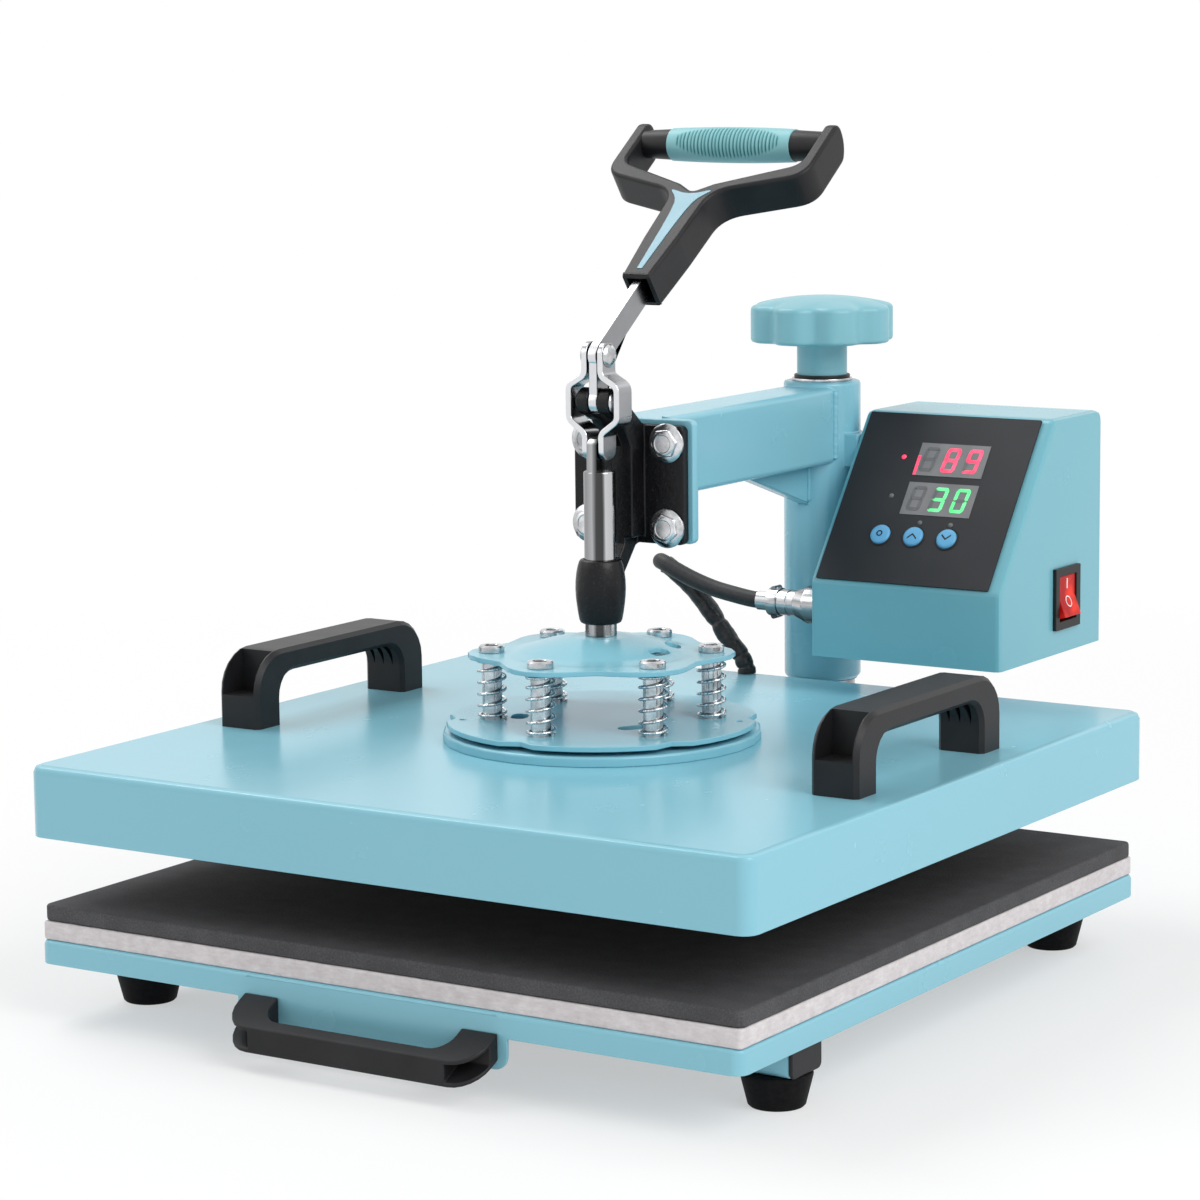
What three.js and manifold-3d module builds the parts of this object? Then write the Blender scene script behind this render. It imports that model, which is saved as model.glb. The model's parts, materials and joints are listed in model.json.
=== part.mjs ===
// Swing-away flat heat press: a slide-out padded bed, a round column with a swinging arm,
// a toggle clamp with a D-shaped handle, and a spring-mounted square heater.
// Millimetres, +Z up, +X to the operator's right, +Y to the back.
// The origin is the centre of the pad's top face.

import * as THREE from 'three';
import { mergeVertices } from 'three/addons/utils/BufferGeometryUtils.js';
import Module from 'manifold-3d';

const wasm = await Module();
wasm.setup();

// Clearances shared by every piece
const seatGap = 0.3;
const slideGap = 0.4;
const overrun = 5;

// Work pad, felt and slide-out tray. A lap is how far a layer shows past the one on it
const pad = { width: 380, depth: 378, thickness: 7.7, corner: 4, edge: 1.4 };
const lap = { felt: 1, trayX: 1, trayY: 1.5, coverX: 5.3, coverY: 2.2 };
const felt = { width: pad.width, depth: pad.depth + lap.felt * 2, thickness: 8.7, corner: 2.5, edge: 1 };
const tray = {
  width: felt.width + lap.trayX * 2, depth: felt.depth + lap.trayY * 2, sheet: 1.5, drop: 11.3, corner: 4,
  edge: 2.2, apronWidth: 147, apronDrop: 25.6, apronCorner: 7, tailCorner: 6,
};
const padTop = 0;
const feltTop = padTop - pad.thickness;
const trayTop = feltTop - felt.thickness;
const trayUnder = trayTop - tray.sheet;
const trayFront = -tray.depth / 2;

// Welded base
const floorZ = -56;
const foot = { topRadius: 16, bottomRadius: 12.7, height: 15.5, edge: 0.6, rim: 1.3, inset: 13 };
const tube = { depth: 25, height: 14, wall: 1.8, corner: 3 };
const tubeInset = { front: 58.5, rear: 11.2, frontEnd: 4.4, rearEnd: 27.6 };
const frontTube = { y: trayFront + tubeInset.front, half: tray.width / 2 - tubeInset.frontEnd };
const rearTube = { y: -trayFront - tubeInset.rear, half: tray.width / 2 - tubeInset.rearEnd };
const spine = { x: 45, width: 20, behind: 27 };
const endCap = { thickness: 1.8, lip: 0.4, stub: 8 };
const tubeUnder = floorZ + foot.height;
const tubeTop = tubeUnder + tube.height;
const rail = { inset: 41, width: 12, wall: 1.5, topGap: 1.2, lip: 4.5 };
const runner = { web: 2.4, flange: 1.8, endInset: 6.5 };

// Column and its foot
const column = {
  behind: 22.5, postRadius: 17, sleeveRadius: 20, sleeveUnder: 63, sleeveTop: 219.5, lid: 4, chamfer: 2,
};
const columnY = column.behind - trayFront;
const railX = tray.width / 2 - rail.inset;
const post = { top: 207.5, boreDepth: 44 };
const footPlate = { half: 57, ahead: 20.6, thickness: 5, corner: 5 };
const gusset = { thickness: 5, reach: 31, height: 19, toe: 4 };
const screw = { radius: 6, depth: 36 };
const washer = { radius: 15.5, thickness: 3.2, chamfer: 0.6 };
const knob = {
  neckRadius: 13, neckHeight: 17.1, capRadius: 37.5, capHeight: 23.7, lobes: 8, lobeDepth: 4.6,
  stepsPerLobe: 6, edge: 3, crown: 6.4, crownInset: 8, crownShares: [0.6, 0.85], crownSeat: 1.6, neckFlare: 3,
};

// Swinging arm
const arm = { width: 30, under: 178, top: 217, corner: 3 };
const armPlate = { front: 30.5, thickness: 5, half: 33.5, under: 157.5, corner: 3 };
const armRib = { width: 6, run: 66, under: 156.6 };
const boxBracket = { ahead: 9, depth: 18, under: 176, height: 17 };

// Toggle clamp on the arm's front plate
const clamp = { flangeFront: 25.5, half: 31, under: 157.4, top: 214.6, corner: 3 };
const barrel = { under: 122, top: 152, radius: 10, waistRadius: 11.9, waistZ: 138.6, corner: 2.5 };
const web = { half: 4.7, front: 14.5, armpitZ: 158, rearFoot: 136, shoulderZ: 205 };
const ear = { inner: 2.8, outer: 9, radius: 6.5, throatY: 6.8, throatZ: 217.6, wrap: 50 };
const leverPivotZ = 227.5;
const crank = 21.8;
const linkLength = 43.2;
const linkPivotZ = leverPivotZ + crank;
const plungerPivotZ = linkPivotZ - linkLength;
const pinRadius = 3;
const rivetHead = { radius: 5.6, height: 2 };
const bolt = {
  x: 22, upperZ: 206.2, lowerZ: 165.3, flangeRadius: 9.45, flangeHeight: 1.8, acrossFlats: 13,
  height: 6.6, shankRadius: 3.9, shankEnd: 1.2,
};

// Lever, handle and links
const lever = { thickness: 4.7, eyeRadius: 6, front: 5, back: 6, depth: 12, lean: 54, reach: 47.8, tang: 38 };
const handle = {
  depth: 19, corner: 2.2, mouthHalf: 7.8, neckHalf: 10, neckV: 29, waistHalf: 11, waistV: 57,
  crotchHalf: 14.7, crotchV: 66, limbHalf: 57.5, limbV: 84, limbWidth: 7, innerV: 88,
  shoulderHalf: 9.7, shoulderV: 71, notchV: 64.6, topV: 120, topCorner: 4,
  elbow: 9, tuck: 2.3, socket: 42, wall: 2.2,
};
const limbInner = handle.limbHalf - handle.limbWidth;
const grip = { v: 110, w: 2, coreRadius: 6.6, radius: 8.6, width: 71, edge: 1.2 };
const link = {
  half: 6, endRadius: 6.5, inner: 3, thickness: 3, bulgeInner: 12,
  upperBendZ: 240, bulgeTopZ: 235, bulgeUnderZ: 219, lowerBendZ: 212.6,
};

// Plunger and the plates that carry the springs
const plunger = {
  radius: 7.6, under: 115.5, top: 194.7, tongueHalf: 2.7, tongueRise: 4.4, tongueBevel: 2.4, chamfer: 1,
};
const plungerPinRadius = 3.8;
const spider = {
  boltCircle: 52.5, thickness: 2.5, topAtBolts: 107.5, tipRadius: 64, valleyRadius: 54,
  lobeFullness: 0.8, flatFrom: 46, domeShares: [[1, 0], [0.82, 0.28], [0.6, 0.66], [0.33, 0.97], [0.26, 1]],
  slot: [30.5, 38, 22], slotAngles: [-4, 31],
};
const shoulderBolt = {
  count: 6, headRadius: 6.2, headHeight: 3.4, headEdge: 0.6, shankRadius: 4.75,
  threadRadius: 3, socketRadius: 2.9, socketDepth: 1.8,
};
const spring = { radius: 7.2, wire: 1.5, turns: 5, sides: 5, stepsPerTurn: 8 };
const clampPlate = {
  under: 73, thickness: 2.5, radius: 74.6, valleyRadius: 70, valleySweep: 16,
  innerSlot: [26, 35, 30], innerAngle: 332, outerSlot: [36, 44, 20], outerAngle: 204,
  rimHoleRadius: 1.7, rimHoleCircle: 66.5, rimHoleAngles: [22, 214],
};
const disc = { radius: 76.4, thickness: 4.8, bossRadius: 8, chamfer: 0.8 };

// Heater
const heater = {
  width: pad.width + lap.coverX * 2, depth: pad.depth + lap.coverY * 2, under: 32.2, top: 66.2, sheet: 1.6,
  corner: 4, edge: 3.5,
};
const platen = { inset: 9.2, under: 29.5, thickness: 14.5, corner: 4, postRadius: 8, postShare: 0.36 };
const coverHandle = {
  inset: 29.3, width: 24, half: 69.5, height: 37, legDepth: 19, bar: 11.5, outerCurve: 20, innerCurve: 12,
  edge: 2, floor: 16, wall: 2.6, back: 3.2, notches: 3, notchPitch: 5.6, notchWidth: 4, notchDrop: 12,
  notchDepth: 2.5,
};

// Front pull handle
const pull = {
  half: 69, legWidth: 19, reach: 19, bar: 5.6, height: 12, top: -25.5, slope: 27, corner: 14, innerCorner: 9,
  plate: 2, pocketInset: 15.5, pocketBack: 6,
};

// Control box, switch, buttons and cable
const boxReach = { ahead: 59, behind: 57, slope: 60.4, switchInset: 43, plugInset: 15 };
const box = {
  left: 26, right: 133.5, front: columnY - boxReach.ahead, back: columnY + boxReach.behind,
  under: 85, top: 205, kneeZ: 124, slopeTopY: columnY - boxReach.ahead + boxReach.slope,
  sheet: 1.5, edge: 3, floorInset: 2, backBend: 6, crestBend: 3, kneeBend: 2,
};
const panel = { left: 3.7, width: 97.4, start: 0.9, height: 98.6, thickness: 1, corner: 2 };
const button = {
  radius: 5.5, firstX: 32.3, pitch: 18.75, along: 28, proud: 1.5, flangeRadius: 7, flangeHeight: 1.6,
};
const rocker = {
  y: box.back - boxReach.switchInset, z: 113.2, frameWidth: 28, frameHeight: 31.5, frameProud: 2,
  bodyWidth: 23, bodyHeight: 27, bodyDepth: 12, wall: 2, width: 18.2, height: 22.2, tilt: 10,
  proud: 2.2, pivotDepth: 3, footShare: 0.6, sideShare: 0.97, faceShare: 0.94,
};
const plug = {
  y: box.front + boxReach.plugInset, z: 108.5, nutRadius: 10, nutEnd: 23, barrelRadius: 6.6, ringStart: 16.4,
  ringEnd: 11.4, ringRadius: 8.5,
  bodyRadius: 6.75, bodyEnd: 1, clampRadius: 7.3, clampEnd: -6, tailRadius: 5, end: -13, edge: 0.5,
};
const cable = { radius: 4.3, sides: 8, steps: 42 };

// The cable's way from the plug's tail, its heights first from the plug and then from the cover's top
const cableLoop = [
  [0, 0, 0], [-4.7, 0, 0], [-23.2, 1, 6.5], [-41.7, 3, 12.9], [-56.7, 6, 16.8], [-66.2, 8.5, 13.9],
  [-65.7, 10.5, 5.1], [-55.7, 12.5, -2.9],
];
const cableFall = [
  [-41.7, 14.5, 30.1], [-27.7, 16, 19.7], [-18.2, 16.5, 10.5], [-14.7, 16.5, 3.9], [-14.7, 16.5, 0],
];

// How finely round forms are divided
const smallRound = 12;
const mediumRound = 18;
const largeRound = 28;
const cornerSteps = 3;
const slotSteps = 2;
const curveSteps = 8;
const bevelSteps = 2;
const hexSides = 6;
const holeSides = 10;
const holeGrow = 1 / Math.cos(Math.PI / holeSides);
const scallopPoints = 48;
const lobePoints = 48;

const radians = THREE.MathUtils.degToRad;

// Solids from three.js shapes

function asSolid(shape) {
  if (!shape.isBufferGeometry) return shape;
  const bare = shape.clone();
  bare.deleteAttribute('normal');
  bare.deleteAttribute('uv');
  const merged = mergeVertices(bare);
  const corners = merged.index.array;
  const kept = [];
  for (let i = 0; i < corners.length; i += 3) {
    const [a, b, c] = [corners[i], corners[i + 1], corners[i + 2]];
    if (a !== b && b !== c && c !== a) kept.push(a, b, c);
  }
  const vertProperties = merged.attributes.position.array;
  return new wasm.Manifold(new wasm.Mesh({ numProp: 3, vertProperties, triVerts: new Uint32Array(kept) }));
}

function join(...pieces) {
  return pieces.map(asSolid).reduce((whole, piece) => whole.add(piece));
}

function cut(piece, ...tools) {
  return tools.map(asSolid).reduce((rest, tool) => rest.subtract(tool), asSolid(piece));
}

function common(first, second) {
  return asSolid(first).intersect(asSolid(second));
}

function asGeometry(solid) {
  if (solid.isBufferGeometry) return solid;
  const mesh = solid.getMesh();
  const geometry = new THREE.BufferGeometry();
  const places = new Float32Array(mesh.vertProperties);
  geometry.setAttribute('position', new THREE.BufferAttribute(places, mesh.numProp));
  geometry.setIndex(new THREE.BufferAttribute(new Uint32Array(mesh.triVerts), 1));
  return geometry;
}

function block([x0, x1], [y0, y1], [z0, z1]) {
  const geometry = new THREE.BoxGeometry(x1 - x0, y1 - y0, z1 - z0);
  return geometry.translate((x0 + x1) / 2, (y0 + y1) / 2, (z0 + z1) / 2);
}

function outline(points) {
  return new THREE.Shape(points.map(([a, b]) => new THREE.Vector2(a, b)));
}

function roundedOutline([a0, a1], [b0, b1], radius) {
  const shape = new THREE.Shape();
  shape.absarc(a1 - radius, b0 + radius, radius, -Math.PI / 2, 0);
  shape.absarc(a1 - radius, b1 - radius, radius, 0, Math.PI / 2);
  shape.absarc(a0 + radius, b1 - radius, radius, Math.PI / 2, Math.PI);
  shape.absarc(a0 + radius, b0 + radius, radius, Math.PI, Math.PI * 1.5);
  shape.closePath();
  return shape;
}

function prismZ(shape, [z0, z1], curveSegments = cornerSteps) {
  const geometry = new THREE.ExtrudeGeometry(shape, { depth: z1 - z0, bevelEnabled: false, curveSegments });
  return geometry.translate(0, 0, z0);
}

// The outline's axes are Y and Z, and it is extruded along X
function prismX(shape, [x0, x1], curveSegments = cornerSteps) {
  const turn = new THREE.Matrix4().makeBasis(
    new THREE.Vector3(0, 1, 0), new THREE.Vector3(0, 0, 1), new THREE.Vector3(1, 0, 0),
  );
  return prismZ(shape, [x0, x1], curveSegments).applyMatrix4(turn);
}

// The same with its two faces' edges rounded
function softPrismX(shape, [x0, x1], edge, bevelSegments) {
  const turn = new THREE.Matrix4().makeBasis(
    new THREE.Vector3(0, 1, 0), new THREE.Vector3(0, 0, 1), new THREE.Vector3(1, 0, 0),
  );
  return new THREE.ExtrudeGeometry(shape, {
    depth: x1 - x0 - edge * 2, bevelEnabled: true, bevelThickness: edge, bevelSize: edge, bevelOffset: -edge,
    bevelSegments, curveSegments: cornerSteps,
  }).applyMatrix4(turn).translate(x0 + edge, 0, 0);
}

// The outline's axes are X and Z, and it is extruded along Y
function prismY(shape, [y0, y1], curveSegments = cornerSteps) {
  const turn = new THREE.Matrix4().makeBasis(
    new THREE.Vector3(1, 0, 0), new THREE.Vector3(0, 0, 1), new THREE.Vector3(0, -1, 0),
  );
  return prismZ(shape, [-y1, -y0], curveSegments).applyMatrix4(turn);
}

function rodX(radius, [x0, x1], y, z, sides = smallRound) {
  const geometry = new THREE.CylinderGeometry(radius, radius, x1 - x0, sides);
  return geometry.rotateZ(-Math.PI / 2).translate((x0 + x1) / 2, y, z);
}

function rodY(radius, [y0, y1], x, z, sides = smallRound) {
  return new THREE.CylinderGeometry(radius, radius, y1 - y0, sides).translate(x, (y0 + y1) / 2, z);
}

function rodZ(radius, [z0, z1], x, y, sides = smallRound) {
  const geometry = new THREE.CylinderGeometry(radius, radius, z1 - z0, sides);
  return geometry.rotateX(Math.PI / 2).translate(x, y, (z0 + z1) / 2);
}

// A round hole's cutter, whose flats clear the named radius
function drillZ(radius, span, x, y) {
  return rodZ(radius * holeGrow, span, x, y, holeSides);
}

function drillY(radius, span, x, z) {
  return rodY(radius * holeGrow, span, x, z, holeSides);
}

// A profile of radius and height, turned about +Z
function turned(profile, sides = mediumRound) {
  const points = profile.map(([radius, height]) => new THREE.Vector2(radius, height));
  return new THREE.LatheGeometry(points, sides).rotateX(Math.PI / 2);
}

// The same, laid along +X: heights become X
function turnedX(profile, sides = smallRound) {
  return turned(profile, sides).rotateY(Math.PI / 2);
}

// A block with rounded plan corners and rounded edges at its top
function softTopBlock([x0, x1], [y0, y1], [z0, z1], corner, edge) {
  const shape = roundedOutline([x0 + edge, x1 - edge], [y0 + edge, y1 - edge], corner);
  const geometry = new THREE.ExtrudeGeometry(shape, {
    depth: z1 - z0, bevelEnabled: true, bevelThickness: edge, bevelSize: edge, bevelSegments: bevelSteps,
    curveSegments: slotSteps,
  });
  geometry.translate(0, 0, z0 - edge);
  const keep = block([x0 - overrun, x1 + overrun], [y0 - overrun, y1 + overrun], [z0, z1 + overrun]);
  return common(geometry, keep);
}

// A ring-shaped slot, swept about the origin
function ringSlot([inner, outer, sweepDegrees], angle, [z0, z1]) {
  const mid = (inner + outer) / 2;
  const tip = (outer - inner) / 2;
  const half = radians(sweepDegrees) / 2 - tip / mid;
  const shape = new THREE.Shape();
  const from = angle - half;
  const to = angle + half;
  shape.absarc(0, 0, outer, from, to);
  shape.absarc(mid * Math.cos(to), mid * Math.sin(to), tip, to, to + Math.PI);
  shape.absarc(0, 0, inner, to, from, true);
  shape.absarc(mid * Math.cos(from), mid * Math.sin(from), tip, from + Math.PI, from + Math.PI * 2);
  return prismZ(shape, [z0, z1], slotSteps);
}

// Angles of the six shoulder bolts
function boltAngles() {
  const step = (Math.PI * 2) / shoulderBolt.count;
  return Array.from({ length: shoulderBolt.count }, (_, i) => step * (i + 0.5));
}

function boltSpots() {
  const reach = spider.boltCircle;
  return boltAngles().map((angle) => [reach * Math.cos(angle), reach * Math.sin(angle)]);
}

// Materials

function paint(color) {
  return new THREE.MeshStandardMaterial({ color, roughness: 0.42, metalness: 0.1 });
}

function metal(color, roughness = 0.3) {
  return new THREE.MeshStandardMaterial({ color, roughness, metalness: 1 });
}

function plain(color, roughness = 0.6) {
  return new THREE.MeshStandardMaterial({ color, roughness, metalness: 0 });
}

const materials = {
  bluePaint: paint(0x86cfdb),
  blackPaint: plain(0x161618, 0.3),
  bluePlastic: plain(0x86cfdb, 0.4),
  zinc: metal(0xc9ccd0),
  steel: metal(0xb4b8bc, 0.35),
  aluminium: metal(0xb9bcc0, 0.45),
  blackPlastic: plain(0x2b2b2e, 0.5),
  rubber: plain(0x202123, 0.85),
  tealGrip: plain(0x58a7b6, 0.45),
  sponge: plain(0x4b4c4f, 0.95),
  felt: plain(0xd9d3d1, 0.95),
  panelBlack: plain(0x1b1b1e, 0.35),
  redLens: plain(0xc8261f, 0.3),
  blueButton: plain(0x5aa9d6, 0.4),
  cableBlack: plain(0x191a1c, 0.6),
};

const press = new THREE.Group();

function place(name, shape, material, group = press) {
  const mesh = new THREE.Mesh(asGeometry(shape), material);
  mesh.name = name;
  group.add(mesh);
  return mesh;
}

// Drawer

function foamPad() {
  const [halfX, halfY] = [pad.width / 2, pad.depth / 2];
  return softTopBlock([-halfX, halfX], [-halfY, halfY], [feltTop, padTop], pad.corner, pad.edge);
}

function feltUnderlay() {
  const [halfX, halfY] = [felt.width / 2, felt.depth / 2];
  return softTopBlock([-halfX, halfX], [-halfY, halfY], [trayTop, feltTop], felt.corner, felt.edge);
}

// A runner hangs from the tray and reaches outward into its rail
function drawerRunner(side) {
  const inner = railX - rail.lip - runner.web;
  const railInside = railX + rail.width - rail.wall;
  const under = tubeTop + rail.wall + slideGap;
  const flangeTop = under + runner.flange;
  const ends = [trayFront + runner.endInset, -trayFront - runner.endInset];
  const shape = outline([
    [side * inner, trayUnder + tray.sheet / 2], [side * inner, under],
    [side * (railInside - slideGap), under], [side * (railInside - slideGap), flangeTop],
    [side * (inner + runner.web), flangeTop], [side * (inner + runner.web), trayUnder + tray.sheet / 2],
  ]);
  return prismY(shape, ends);
}

function baseTray() {
  const half = tray.width / 2;
  const back = -trayFront;
  const rim = trayTop - tray.drop;
  const outer = softTopBlock([-half, half], [trayFront, back], [rim, trayTop], tray.corner, tray.edge);
  const inside = prismZ(
    roundedOutline(
      [tray.sheet - half, half - tray.sheet], [trayFront + tray.sheet, back + overrun],
      tray.corner + tray.edge - tray.sheet,
    ), [rim - overrun, trayUnder], slotSteps,
  );
  const apron = prismY(
    roundedOutline(
      [-tray.apronWidth / 2, tray.apronWidth / 2], [trayTop - tray.apronDrop, trayUnder], tray.apronCorner,
    ), [trayFront, trayFront + tray.sheet],
  );
  const tails = [-1, 1].map((side) => {
    const shape = new THREE.Shape();
    shape.moveTo(back + overrun, rim - overrun);
    shape.lineTo(back + overrun, rim + tray.tailCorner);
    shape.lineTo(back, rim + tray.tailCorner);
    shape.absarc(back - tray.tailCorner, rim + tray.tailCorner, tray.tailCorner, 0, -Math.PI / 2, true);
    shape.lineTo(back - tray.tailCorner, rim - overrun);
    const wall = [side * half - overrun, side * half + overrun];
    return prismX(shape, wall);
  });
  const shell = cut(join(cut(outer, inside), apron), ...tails);
  return join(shell, drawerRunner(-1), drawerRunner(1));
}

// The pull is a U in plan, 12 high, and its arms slope down to the front
function frontHandle() {
  const back = trayFront - seatGap;
  const front = back - pull.reach;
  const inner = pull.half - pull.legWidth;
  const turn = pull.innerCorner;
  const shape = new THREE.Shape();
  shape.moveTo(-pull.half, back);
  shape.lineTo(-pull.half, front + pull.corner);
  shape.absarc(pull.corner - pull.half, front + pull.corner, pull.corner, Math.PI, Math.PI * 1.5);
  shape.absarc(pull.half - pull.corner, front + pull.corner, pull.corner, -Math.PI / 2, 0);
  shape.lineTo(pull.half, back);
  shape.lineTo(inner, back);
  const barBack = front + pull.bar;
  shape.absarc(inner - turn, barBack + turn, turn, 0, -Math.PI / 2, true);
  shape.absarc(turn - inner, barBack + turn, turn, -Math.PI / 2, -Math.PI, true);
  shape.lineTo(-inner, back);
  const under = pull.top - pull.height;
  const body = prismZ(shape, [under, pull.top], cornerSteps);
  const pockets = [-1, 1].map((side) => {
    const wide = [side * (pull.half - pull.pocketInset), side * (pull.half + overrun)].sort((a, b) => a - b);
    const high = [under + pull.plate, pull.top - pull.plate];
    return block(wide, [front - overrun, back - pull.pocketBack], high);
  });
  const solid = asGeometry(cut(body, ...pockets));
  const points = solid.attributes.position;
  const fall = Math.tan(radians(pull.slope));
  for (let i = 0; i < points.count; i += 1) {
    points.setZ(i, points.getZ(i) - (back - points.getY(i)) * fall);
  }
  return solid;
}

// Base

function crossTube({ y, half }) {
  const tubeY = [y - tube.depth / 2, y + tube.depth / 2];
  const outer = prismX(roundedOutline(tubeY, [tubeUnder, tubeTop], tube.corner), [-half, half], 2);
  const bore = (side) => block(
    [side * half - endCap.stub - seatGap, side * half + endCap.stub + seatGap],
    [tubeY[0] + tube.wall, tubeY[1] - tube.wall], [tubeUnder + tube.wall, tubeTop - tube.wall],
  );
  return cut(outer, bore(-1), bore(1));
}

// A rail is a channel whose mouth faces the middle
function fixedRail(side) {
  const top = trayUnder - rail.topGap;
  const out = railX + rail.width;
  const shape = outline([
    [side * railX, tubeTop - tube.wall / 2], [side * out, tubeTop - tube.wall / 2], [side * out, top],
    [side * railX, top], [side * railX, top - rail.wall], [side * (out - rail.wall), top - rail.wall],
    [side * (out - rail.wall), tubeTop + rail.wall], [side * railX, tubeTop + rail.wall],
  ]);
  return prismY(shape, [frontTube.y - tube.depth / 2, rearTube.y + tube.depth / 2]);
}

function baseFrame() {
  const plateTop = tubeTop + footPlate.thickness;
  const back = columnY + spine.behind;
  const spines = [-1, 1].map((side) => block(
    [side * spine.x - spine.width / 2, side * spine.x + spine.width / 2], [frontTube.y, back],
    [tubeUnder, tubeTop],
  ));
  const plate = prismZ(
    roundedOutline([-footPlate.half, footPlate.half], [columnY - footPlate.ahead, back], footPlate.corner),
    [tubeTop - tube.wall / 2, plateTop],
  );
  const start = column.postRadius - gusset.thickness;
  const reach = column.postRadius + gusset.reach;
  const sunk = plateTop - footPlate.thickness / 2;
  const fins = [-1, 1].map((side) => prismY(outline([
    [side * start, sunk], [side * reach, sunk], [side * reach, plateTop + gusset.toe],
    [side * (column.postRadius + gusset.toe), plateTop + gusset.height],
    [side * start, plateTop + gusset.height],
  ]), [columnY - gusset.thickness / 2, columnY + gusset.thickness / 2]));
  const postHole = rodZ(
    column.postRadius + seatGap, [plateTop, plateTop + gusset.height + overrun], 0, columnY, mediumRound,
  );
  const tubes = [crossTube(frontTube), crossTube(rearTube), fixedRail(-1), fixedRail(1)];
  return cut(join(...tubes, ...spines, plate, ...fins), postHole);
}

function columnPost() {
  const under = tubeTop + footPlate.thickness;
  const boreRadius = screw.radius + slideGap;
  const chamfer = column.chamfer;
  return turned([
    [0, under], [column.postRadius, under], [column.postRadius, post.top - chamfer],
    [column.postRadius - chamfer, post.top], [boreRadius, post.top],
    [boreRadius, post.top - post.boreDepth], [0, post.top - post.boreDepth],
  ], largeRound).translate(0, columnY, 0);
}

function tubeCap(run, side) {
  const outerY = [run.y - tube.depth / 2 - endCap.lip, run.y + tube.depth / 2 + endCap.lip];
  const face = run.half + seatGap;
  const flat = [side * face, side * (face + endCap.thickness)].sort((a, b) => a - b);
  const inner = [side * (run.half - endCap.stub), side * (face + endCap.thickness / 2)].sort((a, b) => a - b);
  const clear = tube.wall + seatGap;
  const deep = [run.y - tube.depth / 2 + clear, run.y + tube.depth / 2 - clear];
  const stub = block(inner, deep, [tubeUnder + clear, tubeTop - clear]);
  const cover = prismX(
    roundedOutline(outerY, [tubeUnder, tubeTop + endCap.lip], tube.corner), flat, 2,
  );
  return join(cover, stub);
}

function rubberFoot() {
  return turned([
    [0, floorZ], [foot.bottomRadius - foot.edge, floorZ], [foot.bottomRadius, floorZ + foot.edge],
    [foot.topRadius, tubeUnder - foot.rim], [foot.topRadius - foot.edge, tubeUnder], [0, tubeUnder],
  ]);
}

// Column head

function thrustWasher() {
  const under = column.sleeveTop;
  const top = under + washer.thickness;
  const bore = screw.radius + seatGap;
  return turned([
    [bore, under], [washer.radius, under], [washer.radius, top - washer.chamfer],
    [washer.radius - washer.chamfer, top], [bore, top], [bore, under],
  ]).translate(0, columnY, 0);
}

function lobedOutline(radius, lobes, depth) {
  const count = lobes * knob.stepsPerLobe;
  const points = Array.from({ length: count }, (_, i) => {
    const angle = (Math.PI * 2 * i) / count;
    const dip = ((1 - Math.cos(lobes * angle)) / 2) ** 2;
    const reach = radius - depth * dip;
    return [reach * Math.cos(angle), reach * Math.sin(angle)];
  });
  return outline(points);
}

function pressureKnob() {
  const neckUnder = column.sleeveTop + washer.thickness;
  const capUnder = neckUnder + knob.neckHeight;
  const capTop = capUnder + knob.capHeight - knob.crown;
  const rim = lobedOutline(knob.capRadius - knob.edge, knob.lobes, knob.lobeDepth);
  const cap = new THREE.ExtrudeGeometry(rim, {
    depth: capTop - capUnder - knob.edge * 2, bevelEnabled: true,
    bevelThickness: knob.edge, bevelSize: knob.edge, bevelSegments: bevelSteps,
  }).translate(0, 0, capUnder + knob.edge);
  const crownRadius = knob.capRadius - knob.crownInset;
  const [flatShare, riseShare] = knob.crownShares;
  const stem = turned([
    [0, neckUnder - screw.depth], [screw.radius, neckUnder - screw.depth], [screw.radius, neckUnder],
    [knob.neckRadius, neckUnder], [knob.neckRadius, capUnder - knob.neckFlare],
    [knob.neckRadius + knob.neckFlare, capUnder + knob.neckFlare],
    [crownRadius, capTop - knob.crownSeat], [crownRadius, capTop],
    [crownRadius * flatShare, capTop + knob.crown * riseShare],
    [0, capTop + knob.crown],
  ]);
  return asGeometry(join(cap, stem)).translate(0, columnY, 0);
}

// Swinging arm

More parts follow.
